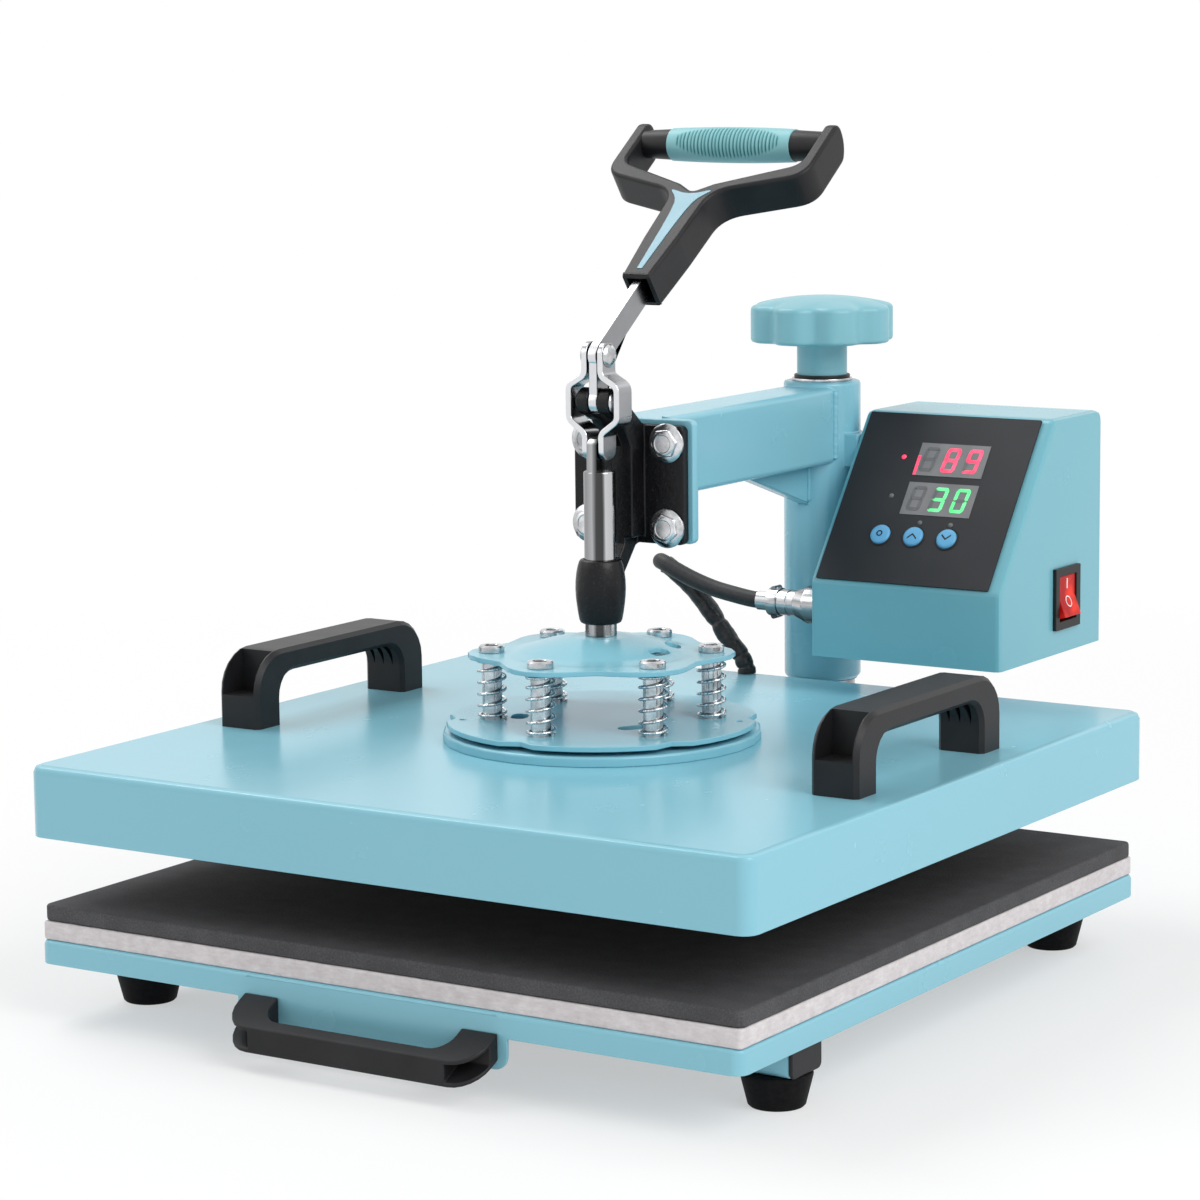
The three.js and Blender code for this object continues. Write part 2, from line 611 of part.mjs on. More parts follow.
function swingArm() {
  const sleeve = turned([
    [0, column.sleeveUnder], [column.sleeveRadius - column.chamfer, column.sleeveUnder],
    [column.sleeveRadius, column.sleeveUnder + column.chamfer],
    [column.sleeveRadius, column.sleeveTop - column.chamfer / 2],
    [column.sleeveRadius - column.chamfer / 2, column.sleeveTop], [0, column.sleeveTop],
  ], largeRound).translate(0, columnY, 0);
  const plateBack = armPlate.front + armPlate.thickness;
  const beam = prismY(
    roundedOutline([-arm.width / 2, arm.width / 2], [arm.under, arm.top], arm.corner),
    [plateBack - armPlate.thickness / 2, columnY],
  );
  const plate = prismY(
    roundedOutline([-armPlate.half, armPlate.half], [armPlate.under, arm.top], armPlate.corner),
    [armPlate.front, plateBack],
  );
  const ribShape = new THREE.Shape();
  const sleeveFront = columnY - column.sleeveRadius;
  ribShape.moveTo(sleeveFront - armRib.run, arm.under + arm.corner);
  ribShape.lineTo(sleeveFront - armRib.run, arm.under);
  ribShape.lineTo(sleeveFront, armRib.under);
  ribShape.lineTo(columnY, armRib.under);
  ribShape.lineTo(columnY, arm.under + arm.corner);
  const rib = prismX(ribShape, [-armRib.width / 2, armRib.width / 2]);
  const bracketFront = columnY - boxBracket.ahead;
  const bracket = block(
    [column.postRadius, box.left], [bracketFront, bracketFront + boxBracket.depth],
    [boxBracket.under, boxBracket.under + boxBracket.height],
  );
  const boreSpan = [column.sleeveUnder - overrun, column.sleeveTop - column.lid];
  const bore = rodZ(column.postRadius + slideGap, boreSpan, 0, columnY, largeRound);
  const screwHole = rodZ(
    screw.radius + seatGap, [post.top, column.sleeveTop + overrun], 0, columnY, mediumRound,
  );
  const holes = boltPlaces().map(([x, z]) => drillY(
    bolt.shankRadius + seatGap, [armPlate.front - overrun, plateBack - bolt.shankEnd + seatGap], x, z,
  ));
  return cut(join(sleeve, beam, plate, rib, bracket), bore, screwHole, ...holes);
}

function boltPlaces() {
  return [-bolt.x, bolt.x].flatMap((x) => [bolt.upperZ, bolt.lowerZ].map((z) => [x, z]));
}

function flangeBolt(x, z) {
  const seat = clamp.flangeFront;
  const washerFront = seat - bolt.flangeHeight;
  const skirt = rodY(bolt.flangeRadius, [washerFront, seat], x, z, mediumRound);
  const hexRadius = bolt.acrossFlats / Math.sqrt(3);
  const head = rodY(hexRadius, [seat - bolt.height, washerFront], x, z, hexSides);
  const shank = rodY(bolt.shankRadius, [seat, armPlate.front + armPlate.thickness - bolt.shankEnd], x, z);
  return join(skirt, head, shank);
}

// Toggle clamp

function clampBody() {
  const flangeY = [clamp.flangeFront, armPlate.front];
  const flange = prismY(
    roundedOutline([-clamp.half, clamp.half], [clamp.under, clamp.top], clamp.corner), flangeY,
  );
  const corner = barrel.corner;
  const tower = turned([
    [0, barrel.under], [barrel.radius - corner, barrel.under], [barrel.radius, barrel.under + corner],
    [barrel.waistRadius, barrel.waistZ], [barrel.radius, barrel.top - corner / 2],
    [barrel.radius - corner / 2, barrel.top], [0, barrel.top],
  ]);
  const webShape = outline([
    [plunger.radius, web.rearFoot], [clamp.flangeFront + seatGap, clamp.under],
    [clamp.flangeFront + seatGap, clamp.top],
    [web.front, web.shoulderZ], [web.front, web.armpitZ], [barrel.radius, barrel.top],
    [plunger.radius, barrel.top],
  ]);
  const middle = prismX(webShape, [-web.half, web.half]);
  const ears = [-1, 1].map((side) => {
    const span = [side * ear.inner, side * ear.outer].sort((a, b) => a - b);
    const eye = rodX(ear.radius, span, 0, leverPivotZ, mediumRound);
    const arc = radians(ear.wrap);
    const rear = clamp.flangeFront + seatGap;
    const cheekUnder = web.armpitZ + clamp.corner;
    const cheek = prismX(outline([
      [-ear.radius * Math.cos(arc), leverPivotZ - ear.radius * Math.sin(arc)], [ear.throatY, ear.throatZ],
      [web.front, web.shoulderZ], [web.front, cheekUnder], [rear, cheekUnder], [rear, clamp.top],
      [ear.radius * Math.sin(arc), leverPivotZ + ear.radius * Math.cos(arc)],
      [0, leverPivotZ],
    ]), span);
    return join(eye, cheek);
  });
  const bore = rodZ(plunger.radius + seatGap, [barrel.under - overrun, clamp.top], 0, 0, mediumRound);
  const pinHole = rodX(pinRadius + seatGap, [-ear.outer - overrun, ear.outer + overrun], 0, leverPivotZ);
  const holes = boltPlaces().map(([x, z]) => drillY(
    bolt.shankRadius + seatGap, [flangeY[0] - overrun, flangeY[1] + overrun], x, z,
  ));
  return cut(join(flange, tower, middle, ...ears), bore, pinHole, ...holes);
}

function pin(z, half, radius = pinRadius) {
  return rodX(radius, [-half, half], 0, z);
}

// A pin with a low round head at each end
function headedPin(z, shoulder) {
  const heads = [-1, 1].map((side) => {
    const span = [side * shoulder, side * (shoulder + rivetHead.height)].sort((a, b) => a - b);
    return rodX(rivetHead.radius, span, 0, z);
  });
  return join(pin(z, shoulder + rivetHead.height / 2), ...heads);
}

// Direction in which the lever's bar leans, and the handle's mouth on it
const lean = radians(lever.lean);
const mouthY = lever.reach * Math.sin(lean);
const mouthZ = linkPivotZ + lever.reach * Math.cos(lean);

function toggleLever() {
  const half = lever.thickness / 2;
  const span = [-half, half];
  const eye = rodX(lever.eyeRadius, span, 0, leverPivotZ, mediumRound);
  const knee = rodX(lever.eyeRadius, span, 0, linkPivotZ, mediumRound);
  const shin = block(span, [-lever.front, lever.back], [leverPivotZ, linkPivotZ]);
  const along = [Math.sin(lean), Math.cos(lean)];
  const across = [Math.cos(lean) * lever.depth / 2, -Math.sin(lean) * lever.depth / 2];
  const end = lever.reach + lever.tang;
  const at = (distance, sideways) => [
    along[0] * distance + across[0] * sideways, linkPivotZ + along[1] * distance + across[1] * sideways,
  ];
  const bar = prismX(outline([at(0, -1), at(0, 1), at(end, 1), at(end, -1)]), span);
  const holes = [leverPivotZ, linkPivotZ].map((z) => pin(z, half + overrun, pinRadius + seatGap));
  return cut(join(eye, knee, shin, bar), ...holes);
}

// The handle's outline lies in the leaning plane: u across, v away from its mouth
function handleOutline() {
  const h = handle;
  const shape = new THREE.Shape();
  const rightSide = [
    [h.neckHalf, h.neckV], [h.waistHalf, h.waistV], [h.crotchHalf, h.crotchV],
  ];
  shape.moveTo(-h.mouthHalf, 0);
  shape.lineTo(h.mouthHalf, 0);
  rightSide.forEach(([u, v]) => shape.lineTo(u, v));
  shape.lineTo(h.limbHalf - h.elbow, h.limbV - h.elbow);
  shape.quadraticCurveTo(h.limbHalf, h.limbV - h.elbow / 2, h.limbHalf, h.limbV + h.elbow / 2);
  shape.lineTo(h.limbHalf, h.topV - h.topCorner);
  shape.quadraticCurveTo(h.limbHalf, h.topV, h.limbHalf - h.topCorner, h.topV);
  shape.lineTo(limbInner, h.topV);
  shape.lineTo(limbInner, h.innerV + h.elbow / 2);
  shape.quadraticCurveTo(limbInner, h.innerV - h.tuck, limbInner - h.elbow, h.innerV - h.elbow / 2);
  shape.lineTo(h.shoulderHalf, h.shoulderV);
  shape.lineTo(0, h.notchV);
  shape.lineTo(-h.shoulderHalf, h.shoulderV);
  shape.lineTo(h.elbow - limbInner, h.innerV - h.elbow / 2);
  shape.quadraticCurveTo(-limbInner, h.innerV - h.tuck, -limbInner, h.innerV + h.elbow / 2);
  shape.lineTo(-limbInner, h.topV);
  shape.lineTo(h.topCorner - h.limbHalf, h.topV);
  shape.quadraticCurveTo(-h.limbHalf, h.topV, -h.limbHalf, h.topV - h.topCorner);
  shape.lineTo(-h.limbHalf, h.limbV + h.elbow / 2);
  shape.quadraticCurveTo(-h.limbHalf, h.limbV - h.elbow / 2, h.elbow - h.limbHalf, h.limbV - h.elbow);
  rightSide.reverse().forEach(([u, v]) => shape.lineTo(-u, v));
  return shape;
}

function tHandle() {
  const edge = handle.corner;
  const body = new THREE.ExtrudeGeometry(handleOutline(), {
    depth: handle.depth - edge * 2, bevelEnabled: true, bevelThickness: edge, bevelSize: edge,
    bevelOffset: -edge,
    bevelSegments: bevelSteps, curveSegments: cornerSteps,
  }).translate(0, 0, edge - handle.depth / 2);
  const coreEnd = limbInner + overrun / 2;
  const core = rodX(grip.coreRadius, [-coreEnd, coreEnd], grip.v, grip.w);
  const socket = block(
    [-lever.thickness / 2 - seatGap, lever.thickness / 2 + seatGap], [-overrun, handle.socket],
    [-lever.depth / 2 - seatGap, lever.depth / 2 + seatGap],
  );
  const mouth = block(
    [handle.wall - handle.mouthHalf, handle.mouthHalf - handle.wall], [-overrun, handle.wall * 2],
    [handle.wall - handle.depth / 2, handle.depth / 2 - handle.wall],
  );
  return cut(join(body, core), socket, mouth);
}

function gripSleeve() {
  const half = grip.width / 2;
  const bore = grip.coreRadius + seatGap;
  return turnedX([
    [bore, -half], [grip.radius - grip.edge, -half], [grip.radius, grip.edge - half],
    [grip.radius, half - grip.edge],
    [grip.radius - grip.edge, half], [bore, half], [bore, -half],
  ], mediumRound).translate(0, grip.v, grip.w);
}

// A link steps outward past the ear and back
function linkPlate(side) {
  const top = linkPivotZ + link.endRadius;
  const under = plungerPivotZ - link.endRadius;
  const face = [
    [link.inner, top], [link.inner, link.upperBendZ], [link.bulgeInner, link.bulgeTopZ],
    [link.bulgeInner, link.bulgeUnderZ], [link.inner, link.lowerBendZ], [link.inner, under],
  ];
  const far = [...face].reverse().map(([x, z]) => [x + link.thickness, z]);
  const profile = outline([...face, ...far].map(([x, z]) => [side * x, z]));
  const strip = prismY(profile, [-link.endRadius, link.endRadius]);
  const plan = new THREE.Shape();
  const meet = Math.acos(link.half / link.endRadius);
  plan.absarc(0, linkPivotZ, link.endRadius, -meet, Math.PI + meet);
  plan.absarc(0, plungerPivotZ, link.endRadius, Math.PI - meet, Math.PI * 2 + meet);
  const outer = [0, side * (link.bulgeInner + link.thickness + overrun)].sort((a, b) => a - b);
  const blank = common(strip, prismX(plan, outer, curveSteps));
  const headSpan = [
    side * (link.inner + link.thickness / 2), side * (link.inner + link.thickness + rivetHead.height),
  ].sort((a, b) => a - b);
  const hole = pin(linkPivotZ, link.inner + link.thickness + overrun, pinRadius + seatGap);
  return cut(join(blank, rodX(rivetHead.radius, headSpan, 0, plungerPivotZ)), hole);
}

// Plunger and spring plates

function plungerRod() {
  const rod = turned([
    [0, plunger.under], [plunger.radius - plunger.chamfer, plunger.under],
    [plunger.radius, plunger.under + plunger.chamfer], [plunger.radius, plunger.top - plunger.chamfer],
    [plunger.radius - plunger.chamfer, plunger.top], [0, plunger.top],
  ]);
  const top = plungerPivotZ + plunger.tongueRise;
  const under = plunger.top - plunger.chamfer * 2;
  const [reach, bevel] = [plunger.radius, plunger.tongueBevel];
  const slab = prismX(outline([
    [-reach, under], [reach, under], [reach, top - bevel], [reach - bevel, top], [bevel - reach, top],
    [-reach, top - bevel],
  ]), [-plunger.tongueHalf, plunger.tongueHalf]);
  const tongue = common(slab, rodZ(reach, [under, top + overrun], 0, 0, mediumRound));
  return cut(join(rod, tongue), pin(plungerPivotZ, plunger.radius, plungerPinRadius - seatGap));
}

// Six lobes on a domed disc, with two curved slots on its right side
function spiderPlate() {
  const rise = plunger.under - spider.topAtBolts;
  const dome = spider.domeShares.map(([out, up]) => [spider.flatFrom * out, spider.topAtBolts + rise * up]);
  const upper = [[spider.tipRadius + overrun, spider.topAtBolts], ...dome, [0, plunger.under]];
  const lower = [...upper].reverse().map(([radius, height]) => [radius, height - spider.thickness]);
  const shell = turned([...lower, ...upper], largeRound);
  const shape = outline(Array.from({ length: lobePoints }, (_, i) => {
    const angle = (Math.PI * 2 * i) / lobePoints;
    const lobe = ((1 - Math.cos(shoulderBolt.count * angle)) / 2) ** spider.lobeFullness;
    const reach = spider.valleyRadius + (spider.tipRadius - spider.valleyRadius) * lobe;
    return [reach * Math.cos(angle), reach * Math.sin(angle)];
  }));
  const heights = [spider.topAtBolts - spider.thickness - overrun, plunger.under + overrun];
  const blank = common(shell, prismZ(shape, heights));
  const slots = spider.slotAngles.map((angle) => ringSlot(spider.slot, radians(angle), heights));
  const holes = boltSpots().map(([x, y]) => drillZ(shoulderBolt.shankRadius + slideGap, heights, x, y));
  return cut(blank, ...slots, ...holes);
}

function shoulderBoltAt(angle) {
  const b = shoulderBolt;
  const seat = clampPlate.under + clampPlate.thickness;
  const headUnder = spider.topAtBolts;
  const top = headUnder + b.headHeight;
  const tip = disc.thickness / 2 + heater.top;
  const body = turned([
    [0, tip], [b.threadRadius, tip], [b.threadRadius, seat], [b.shankRadius, seat],
    [b.shankRadius, headUnder], [b.headRadius, headUnder], [b.headRadius, top - b.headEdge],
    [b.headRadius - b.headEdge, top], [0, top],
  ], smallRound);
  const socket = rodZ(b.socketRadius, [top - b.socketDepth, top + overrun], 0, 0, hexSides);
  const solid = asGeometry(cut(body, socket));
  return solid.translate(spider.boltCircle * Math.cos(angle), spider.boltCircle * Math.sin(angle), 0);
}

// One unbroken wire: a helix whose two ends stand upright on the plates
function springPath() {
  const under = clampPlate.under + clampPlate.thickness;
  const top = spider.topAtBolts - spider.thickness;
  const climb = top - under - spring.wire * 2;
  const steps = spring.turns * spring.stepsPerTurn;
  const points = [{ angle: 0, z: under }];
  for (let i = 0; i <= steps; i += 1) {
    const angle = (Math.PI * 2 * i) / spring.stepsPerTurn;
    points.push({ angle, z: under + spring.wire + (climb * i) / steps });
  }
  points.push({ angle: Math.PI * 2 * spring.turns, z: top });
  return points;
}

function springWire() {
  const path = springPath();
  const centre = path.map(({ angle, z }) => new THREE.Vector3(
    spring.radius * Math.cos(angle), spring.radius * Math.sin(angle), z,
  ));
  const corners = [];
  centre.forEach((point, i) => {
    const before = centre[Math.max(i - 1, 0)];
    const after = centre[Math.min(i + 1, centre.length - 1)];
    const along = new THREE.Vector3().subVectors(after, before).normalize();
    const outward = new THREE.Vector3(Math.cos(path[i].angle), Math.sin(path[i].angle), 0);
    outward.addScaledVector(along, -outward.dot(along)).normalize();
    const side = new THREE.Vector3().crossVectors(along, outward);
    for (let k = 0; k < spring.sides; k += 1) {
      const turn = (Math.PI * 2 * k) / spring.sides;
      const corner = point.clone().addScaledVector(outward, Math.cos(turn) * spring.wire / 2);
      corners.push(corner.addScaledVector(side, Math.sin(turn) * spring.wire / 2));
    }
  });
  return { centre, geometry: tubeFromRings(corners, spring.sides) };
}

function tubeFromRings(corners, sides) {
  const rings = corners.length / sides;
  const faces = [];
  for (let ring = 0; ring + 1 < rings; ring += 1) {
    for (let k = 0; k < sides; k += 1) {
      const a = ring * sides + k;
      const b = ring * sides + ((k + 1) % sides);
      faces.push(a, b, b + sides, a, b + sides, a + sides);
    }
  }
  const last = (rings - 1) * sides;
  for (let k = 1; k + 1 < sides; k += 1) {
    faces.push(0, k + 1, k, last, last + k, last + k + 1);
  }
  const geometry = new THREE.BufferGeometry().setFromPoints(corners);
  geometry.setIndex(faces);
  return geometry;
}

// Least clear distance between one turn's wire and another's
function leastGap(centre) {
  const apart = Math.floor(spring.stepsPerTurn / 2);
  let least = Infinity;
  centre.forEach((point, i) => {
    for (let j = i + apart; j < centre.length; j += 1) {
      least = Math.min(least, point.distanceTo(centre[j]) - spring.wire);
    }
  });
  return least;
}

function clampPlateShape() {
  const count = scallopPoints;
  const reachAt = (angle) => {
    const turns = boltAngles().map((bolted) => angle - bolted);
    const apart = turns.map((turn) => Math.abs(Math.atan2(Math.sin(turn), Math.cos(turn))));
    const share = Math.min(Math.min(...apart) / radians(clampPlate.valleySweep / 2), 1);
    const dip = (1 + Math.cos(Math.PI * share)) / 2;
    return clampPlate.radius - (clampPlate.radius - clampPlate.valleyRadius) * dip;
  };
  return outline(Array.from({ length: count }, (_, i) => {
    const angle = (Math.PI * 2 * i) / count;
    return [reachAt(angle) * Math.cos(angle), reachAt(angle) * Math.sin(angle)];
  }));
}

function scallopedPlate() {
  const top = clampPlate.under + clampPlate.thickness;
  const through = [clampPlate.under - overrun, top + overrun];
  const slots = [
    ringSlot(clampPlate.innerSlot, radians(clampPlate.innerAngle), through),
    ringSlot(clampPlate.outerSlot, radians(clampPlate.outerAngle), through),
  ];
  const rimHoles = clampPlate.rimHoleAngles.map(radians).map((angle) => drillZ(
    clampPlate.rimHoleRadius, through,
    clampPlate.rimHoleCircle * Math.cos(angle), clampPlate.rimHoleCircle * Math.sin(angle),
  ));
  const holes = boltSpots().map(([x, y]) => drillZ(shoulderBolt.threadRadius + seatGap, through, x, y));
  return cut(prismZ(clampPlateShape(), [clampPlate.under, top]), ...slots, ...rimHoles, ...holes);
}

function mountingDisc() {
  const top = heater.top + disc.thickness;
  const plate = turned([
    [0, heater.top], [disc.radius, heater.top], [disc.radius, top - disc.chamfer],
    [disc.radius - disc.chamfer, top], [0, top],
  ], largeRound);
  const holeSpan = [heater.top + disc.thickness / 2 - seatGap, clampPlate.under + overrun];
  const bossSpan = [top - disc.chamfer, clampPlate.under];
  const bosses = boltSpots().map(([x, y]) => rodZ(disc.bossRadius, bossSpan, x, y, holeSides));
  const holes = boltSpots().map(([x, y]) => drillZ(shoulderBolt.threadRadius + seatGap, holeSpan, x, y));
  return cut(join(plate, ...bosses), ...holes);
}

// Heater

function heaterCover() {
  const [halfX, halfY] = [heater.width / 2, heater.depth / 2];
  const heights = [heater.under, heater.top];
  const outer = softTopBlock([-halfX, halfX], [-halfY, halfY], heights, heater.corner, heater.edge);
  const inside = prismZ(
    roundedOutline(
      [heater.sheet - halfX, halfX - heater.sheet], [heater.sheet - halfY, halfY - heater.sheet],
      heater.corner + heater.edge - heater.sheet,
    ), [heater.under - overrun, heater.top - heater.sheet], slotSteps,
  );
  return cut(outer, inside);
}

function heatingPlaten() {
  const [halfX, halfY] = [heater.width / 2 - platen.inset, heater.depth / 2 - platen.inset];
  const top = platen.under + platen.thickness;
  const plate = prismZ(roundedOutline([-halfX, halfX], [-halfY, halfY], platen.corner), [platen.under, top]);
  const posts = [-1, 1].flatMap((sx) => [-1, 1].map((sy) => rodZ(
    platen.postRadius, [top - platen.postRadius / 2, heater.top - heater.sheet],
    sx * heater.width * platen.postShare, sy * heater.depth * platen.postShare,
  )));
  return join(plate, ...posts);
}

// A U that stands on the cover, with a screw well open at the outer corner of each leg
function coverHandleShape() {
  const h = coverHandle;
  const top = heater.top + h.height;
  const inner = h.half - h.legDepth;
  const shape = new THREE.Shape();
  shape.moveTo(-h.half, heater.top - overrun);
  shape.lineTo(-h.half, top - h.outerCurve);
  shape.absarc(h.outerCurve - h.half, top - h.outerCurve, h.outerCurve, Math.PI, Math.PI / 2, true);
  shape.absarc(h.half - h.outerCurve, top - h.outerCurve, h.outerCurve, Math.PI / 2, 0, true);
  shape.lineTo(h.half, heater.top - overrun);
  shape.lineTo(inner, heater.top - overrun);
  const under = top - h.bar;
  shape.absarc(inner - h.innerCurve, under - h.innerCurve, h.innerCurve, 0, Math.PI / 2);
  shape.absarc(h.innerCurve - inner, under - h.innerCurve, h.innerCurve, Math.PI / 2, Math.PI);
  shape.lineTo(-inner, heater.top - overrun);
  return shape;
}

// Three wedge-shaped flutes run down from the arch into each leg's inner face
function legFlutes(x, end) {
  const h = coverHandle;
  const top = heater.top + h.height - h.bar;
  const face = h.half - h.legDepth;
  const wide = [end * (face - h.innerCurve), end * (face + h.notchDepth)].sort((a, b) => a - b);
  return Array.from({ length: h.notches }, (_, i) => {
    const middle = x + (i - (h.notches - 1) / 2) * h.notchPitch;
    return prismY(outline([
      [middle - h.notchWidth / 2, top], [middle, top - h.notchDrop], [middle + h.notchWidth / 2, top],
    ]), wide);
  });
}

function coverHandleAt(side) {
  const h = coverHandle;
  const middle = side * (heater.width / 2 - h.inset);
  const spanX = [middle - h.width / 2, middle + h.width / 2];
  const blank = softPrismX(coverHandleShape(), spanX, h.edge, 1);
  const keep = block(
    [spanX[0] - overrun, spanX[1] + overrun], [-h.half - overrun, h.half + overrun],
    [heater.top, heater.top + h.height + overrun],
  );
  const wellHeights = [heater.top + h.floor, heater.top + h.height + overrun];
  const wells = [-1, 1].map((end) => {
    const wide = [end * (h.half - h.legDepth + h.back), end * (h.half + overrun)].sort((a, b) => a - b);
    return block([spanX[0] + h.wall, spanX[1] - h.wall], wide, wellHeights);
  });
  return cut(common(blank, keep), ...wells, ...legFlutes(middle, -1), ...legFlutes(middle, 1));
}

// Control box

const slope = Math.atan2(box.top - box.kneeZ, box.slopeTopY - box.front);

// One skin with rounded bends, open underneath
function boxShell() {
  const low = box.under - overrun;
  const { front, back, top, slopeTopY, kneeZ, backBend, crestBend, kneeBend } = box;
  const [rise, run] = [Math.sin(slope), Math.cos(slope)];
  const shape = new THREE.Shape();
  shape.moveTo(front, low);
  shape.lineTo(back, low);
  shape.lineTo(back, top - backBend);
  shape.quadraticCurveTo(back, top, back - backBend, top);
  shape.lineTo(slopeTopY + crestBend, top);
  shape.quadraticCurveTo(slopeTopY, top, slopeTopY - crestBend * run, top - crestBend * rise);
  shape.lineTo(front + kneeBend * run, kneeZ + kneeBend * rise);
  shape.quadraticCurveTo(front, kneeZ, front, kneeZ - kneeBend);
  const blank = softPrismX(shape, [box.left, box.right], box.edge, bevelSteps);
  const keep = block(
    [box.left - overrun, box.right + overrun], [box.front - overrun, box.back + overrun],
    [box.under, box.top + overrun],
  );
  const outer = common(blank, keep);
  const t = box.sheet;
  const tuck = t * Math.tan(slope / 2);
  const crest = t * Math.tan((Math.PI / 2 - slope) / 2);
  const inner = prismX(outline([
    [box.front + t, low], [box.back - t, low], [box.back - t, box.top - t],
    [box.slopeTopY + crest, box.top - t], [box.front + t, box.kneeZ - tuck],
  ]), [box.left + t, box.right - t]);
  const switchHole = block(
    [box.right - overrun, box.right + overrun],
    [rocker.y - rocker.bodyWidth / 2 - seatGap, rocker.y + rocker.bodyWidth / 2 + seatGap],
    [rocker.z - rocker.bodyHeight / 2 - seatGap, rocker.z + rocker.bodyHeight / 2 + seatGap],
  );
  const turn = new THREE.Matrix4().makeRotationX(slope);
  const holes = buttonPlaces().map(([x, s]) => drillZ(button.radius + seatGap, [-overrun, overrun], x, s)
    .applyMatrix4(turn).translate(box.left, box.front, box.kneeZ));
  return cut(outer, inner, switchHole, ...holes);
}

// The floor plate sits inside the skin's lower edge
function boxFloor() {
  const inset = box.sheet + seatGap;
  const corner = box.edge;
  return prismZ(
    roundedOutline([box.left + inset, box.right - inset], [box.front + inset, box.back - inset], corner),
    [box.under + box.floorInset, box.under + box.floorInset + box.sheet],
  );
}

function buttonPlaces() {
  return [0, 1, 2].map((i) => [button.firstX + button.pitch * i, button.along]);
}

function controlPanel() {
  const across = [panel.left, panel.left + panel.width];
  const along = [panel.start, panel.start + panel.height];
  const plate = prismZ(roundedOutline(across, along, panel.corner), [seatGap, seatGap + panel.thickness]);
  const holes = buttonPlaces().map(([x, s]) => drillZ(button.radius + seatGap, [-overrun, overrun], x, s));
  return cut(plate, ...holes);
}

function pushButton([x, along]) {
  const face = seatGap + panel.thickness + button.proud;
  const flangeTop = -box.sheet - slideGap;
  const edge = button.proud / 3;
  return turned([
    [0, flangeTop - button.flangeHeight], [button.flangeRadius, flangeTop - button.flangeHeight],
    [button.flangeRadius, flangeTop],
    [button.radius, flangeTop], [button.radius, face - edge], [button.radius - edge, face], [0, face],
  ], smallRound).translate(x, along, 0);
}

function switchFrame() {
  const r = rocker;
  const spanY = (width) => [r.y - width / 2, r.y + width / 2];
  const spanZ = (height) => [r.z - height / 2, r.z + height / 2];
  const bezel = block([box.right, box.right + r.frameProud], spanY(r.frameWidth), spanZ(r.frameHeight));
  const body = block([box.right - r.bodyDepth, box.right], spanY(r.bodyWidth), spanZ(r.bodyHeight));
  const well = block(
    [box.right - r.bodyDepth + r.wall, box.right + r.frameProud + overrun],
    spanY(r.width + slideGap * 2), spanZ(r.height + slideGap * 2),
  );
  return cut(join(bezel, body), well);
}

// A shallow V seen from the side, tipped so that its top is pressed in
function rockerKey() {
  const r = rocker;
  const half = r.height / 2;
  const pivotX = box.right - r.pivotDepth;
  const fold = Math.tan(radians(r.tilt)) * half;
  const face = r.frameProud + r.proud;
  const profile = (end) => [
    [-r.pivotDepth / 2, end * half * r.footShare], [r.pivotDepth / 2, end * half * r.sideShare],
    [face + fold, end * half * r.faceShare],
  ];
  const shape = outline([[-r.pivotDepth, 0], ...profile(-1), [face, 0], ...profile(1).reverse()]);
  const key = prismY(shape, [-r.width / 2, r.width / 2]);
  return key.rotateY(-radians(r.tilt)).translate(pivotX, r.y, r.z);
}

function connectorPlug() {
  const p = plug;
  return turnedX([
    [0, p.end], [p.tailRadius - p.edge, p.end], [p.tailRadius, p.end + p.edge], [p.tailRadius, p.clampEnd],
    [p.clampRadius, p.clampEnd], [p.clampRadius, p.bodyEnd], [p.bodyRadius, p.bodyEnd],
    [p.bodyRadius, p.ringEnd],
    [p.ringRadius, p.ringEnd], [p.ringRadius, p.ringStart], [p.barrelRadius, p.ringStart],
    [p.barrelRadius, p.nutEnd],
    [p.nutRadius, p.nutEnd], [p.nutRadius, box.left], [0, box.left],
  ], smallRound).translate(0, p.y, p.z);
}

function heaterCable() {
  const start = plug.end - seatGap;
  const loop = cableLoop.map(([x, y, z]) => new THREE.Vector3(start + x, plug.y + y, plug.z + z));
  const land = heater.top + seatGap;
  const fall = cableFall.map(([x, y, z]) => new THREE.Vector3(start + x, plug.y + y, land + z));
  const path = new THREE.CatmullRomCurve3([...loop, ...fall], false, 'centripetal');
  const section = outline(Array.from({ length: cable.sides }, (_, i) => {
    const angle = (Math.PI * 2 * i) / cable.sides;
    return [cable.radius * Math.cos(angle), cable.radius * Math.sin(angle)];
  }));
  return new THREE.ExtrudeGeometry(section, { extrudePath: path, steps: cable.steps, bevelEnabled: false });
}

// Assembly

function buildBase() {
  place('base_frame', baseFrame(), materials.bluePaint);
  place('column_post', columnPost(), materials.zinc);
  for (const [end, run] of [['front', frontTube], ['rear', rearTube]]) {
    for (const [name, side] of [['left', -1], ['right', 1]]) {
      place(`tube_cap_${end}_${name}`, tubeCap(run, side), materials.blackPlastic);
      const rubber = place(`foot_${end}_${name}`, rubberFoot(), materials.rubber);
      rubber.position.set(side * (run.half - foot.inset), run.y, 0);
    }
  }
}

function buildDrawer() {
  place('base_tray', baseTray(), materials.bluePaint);
  place('front_handle', frontHandle(), materials.blackPlastic);
  place('felt_underlay', feltUnderlay(), materials.felt);
  place('foam_pad', foamPad(), materials.sponge);
}

function buildColumnHead() {
  place('thrust_washer', thrustWasher(), materials.zinc);
  place('pressure_knob', pressureKnob(), materials.bluePlastic);
  place('swing_arm', swingArm(), materials.bluePaint);
}

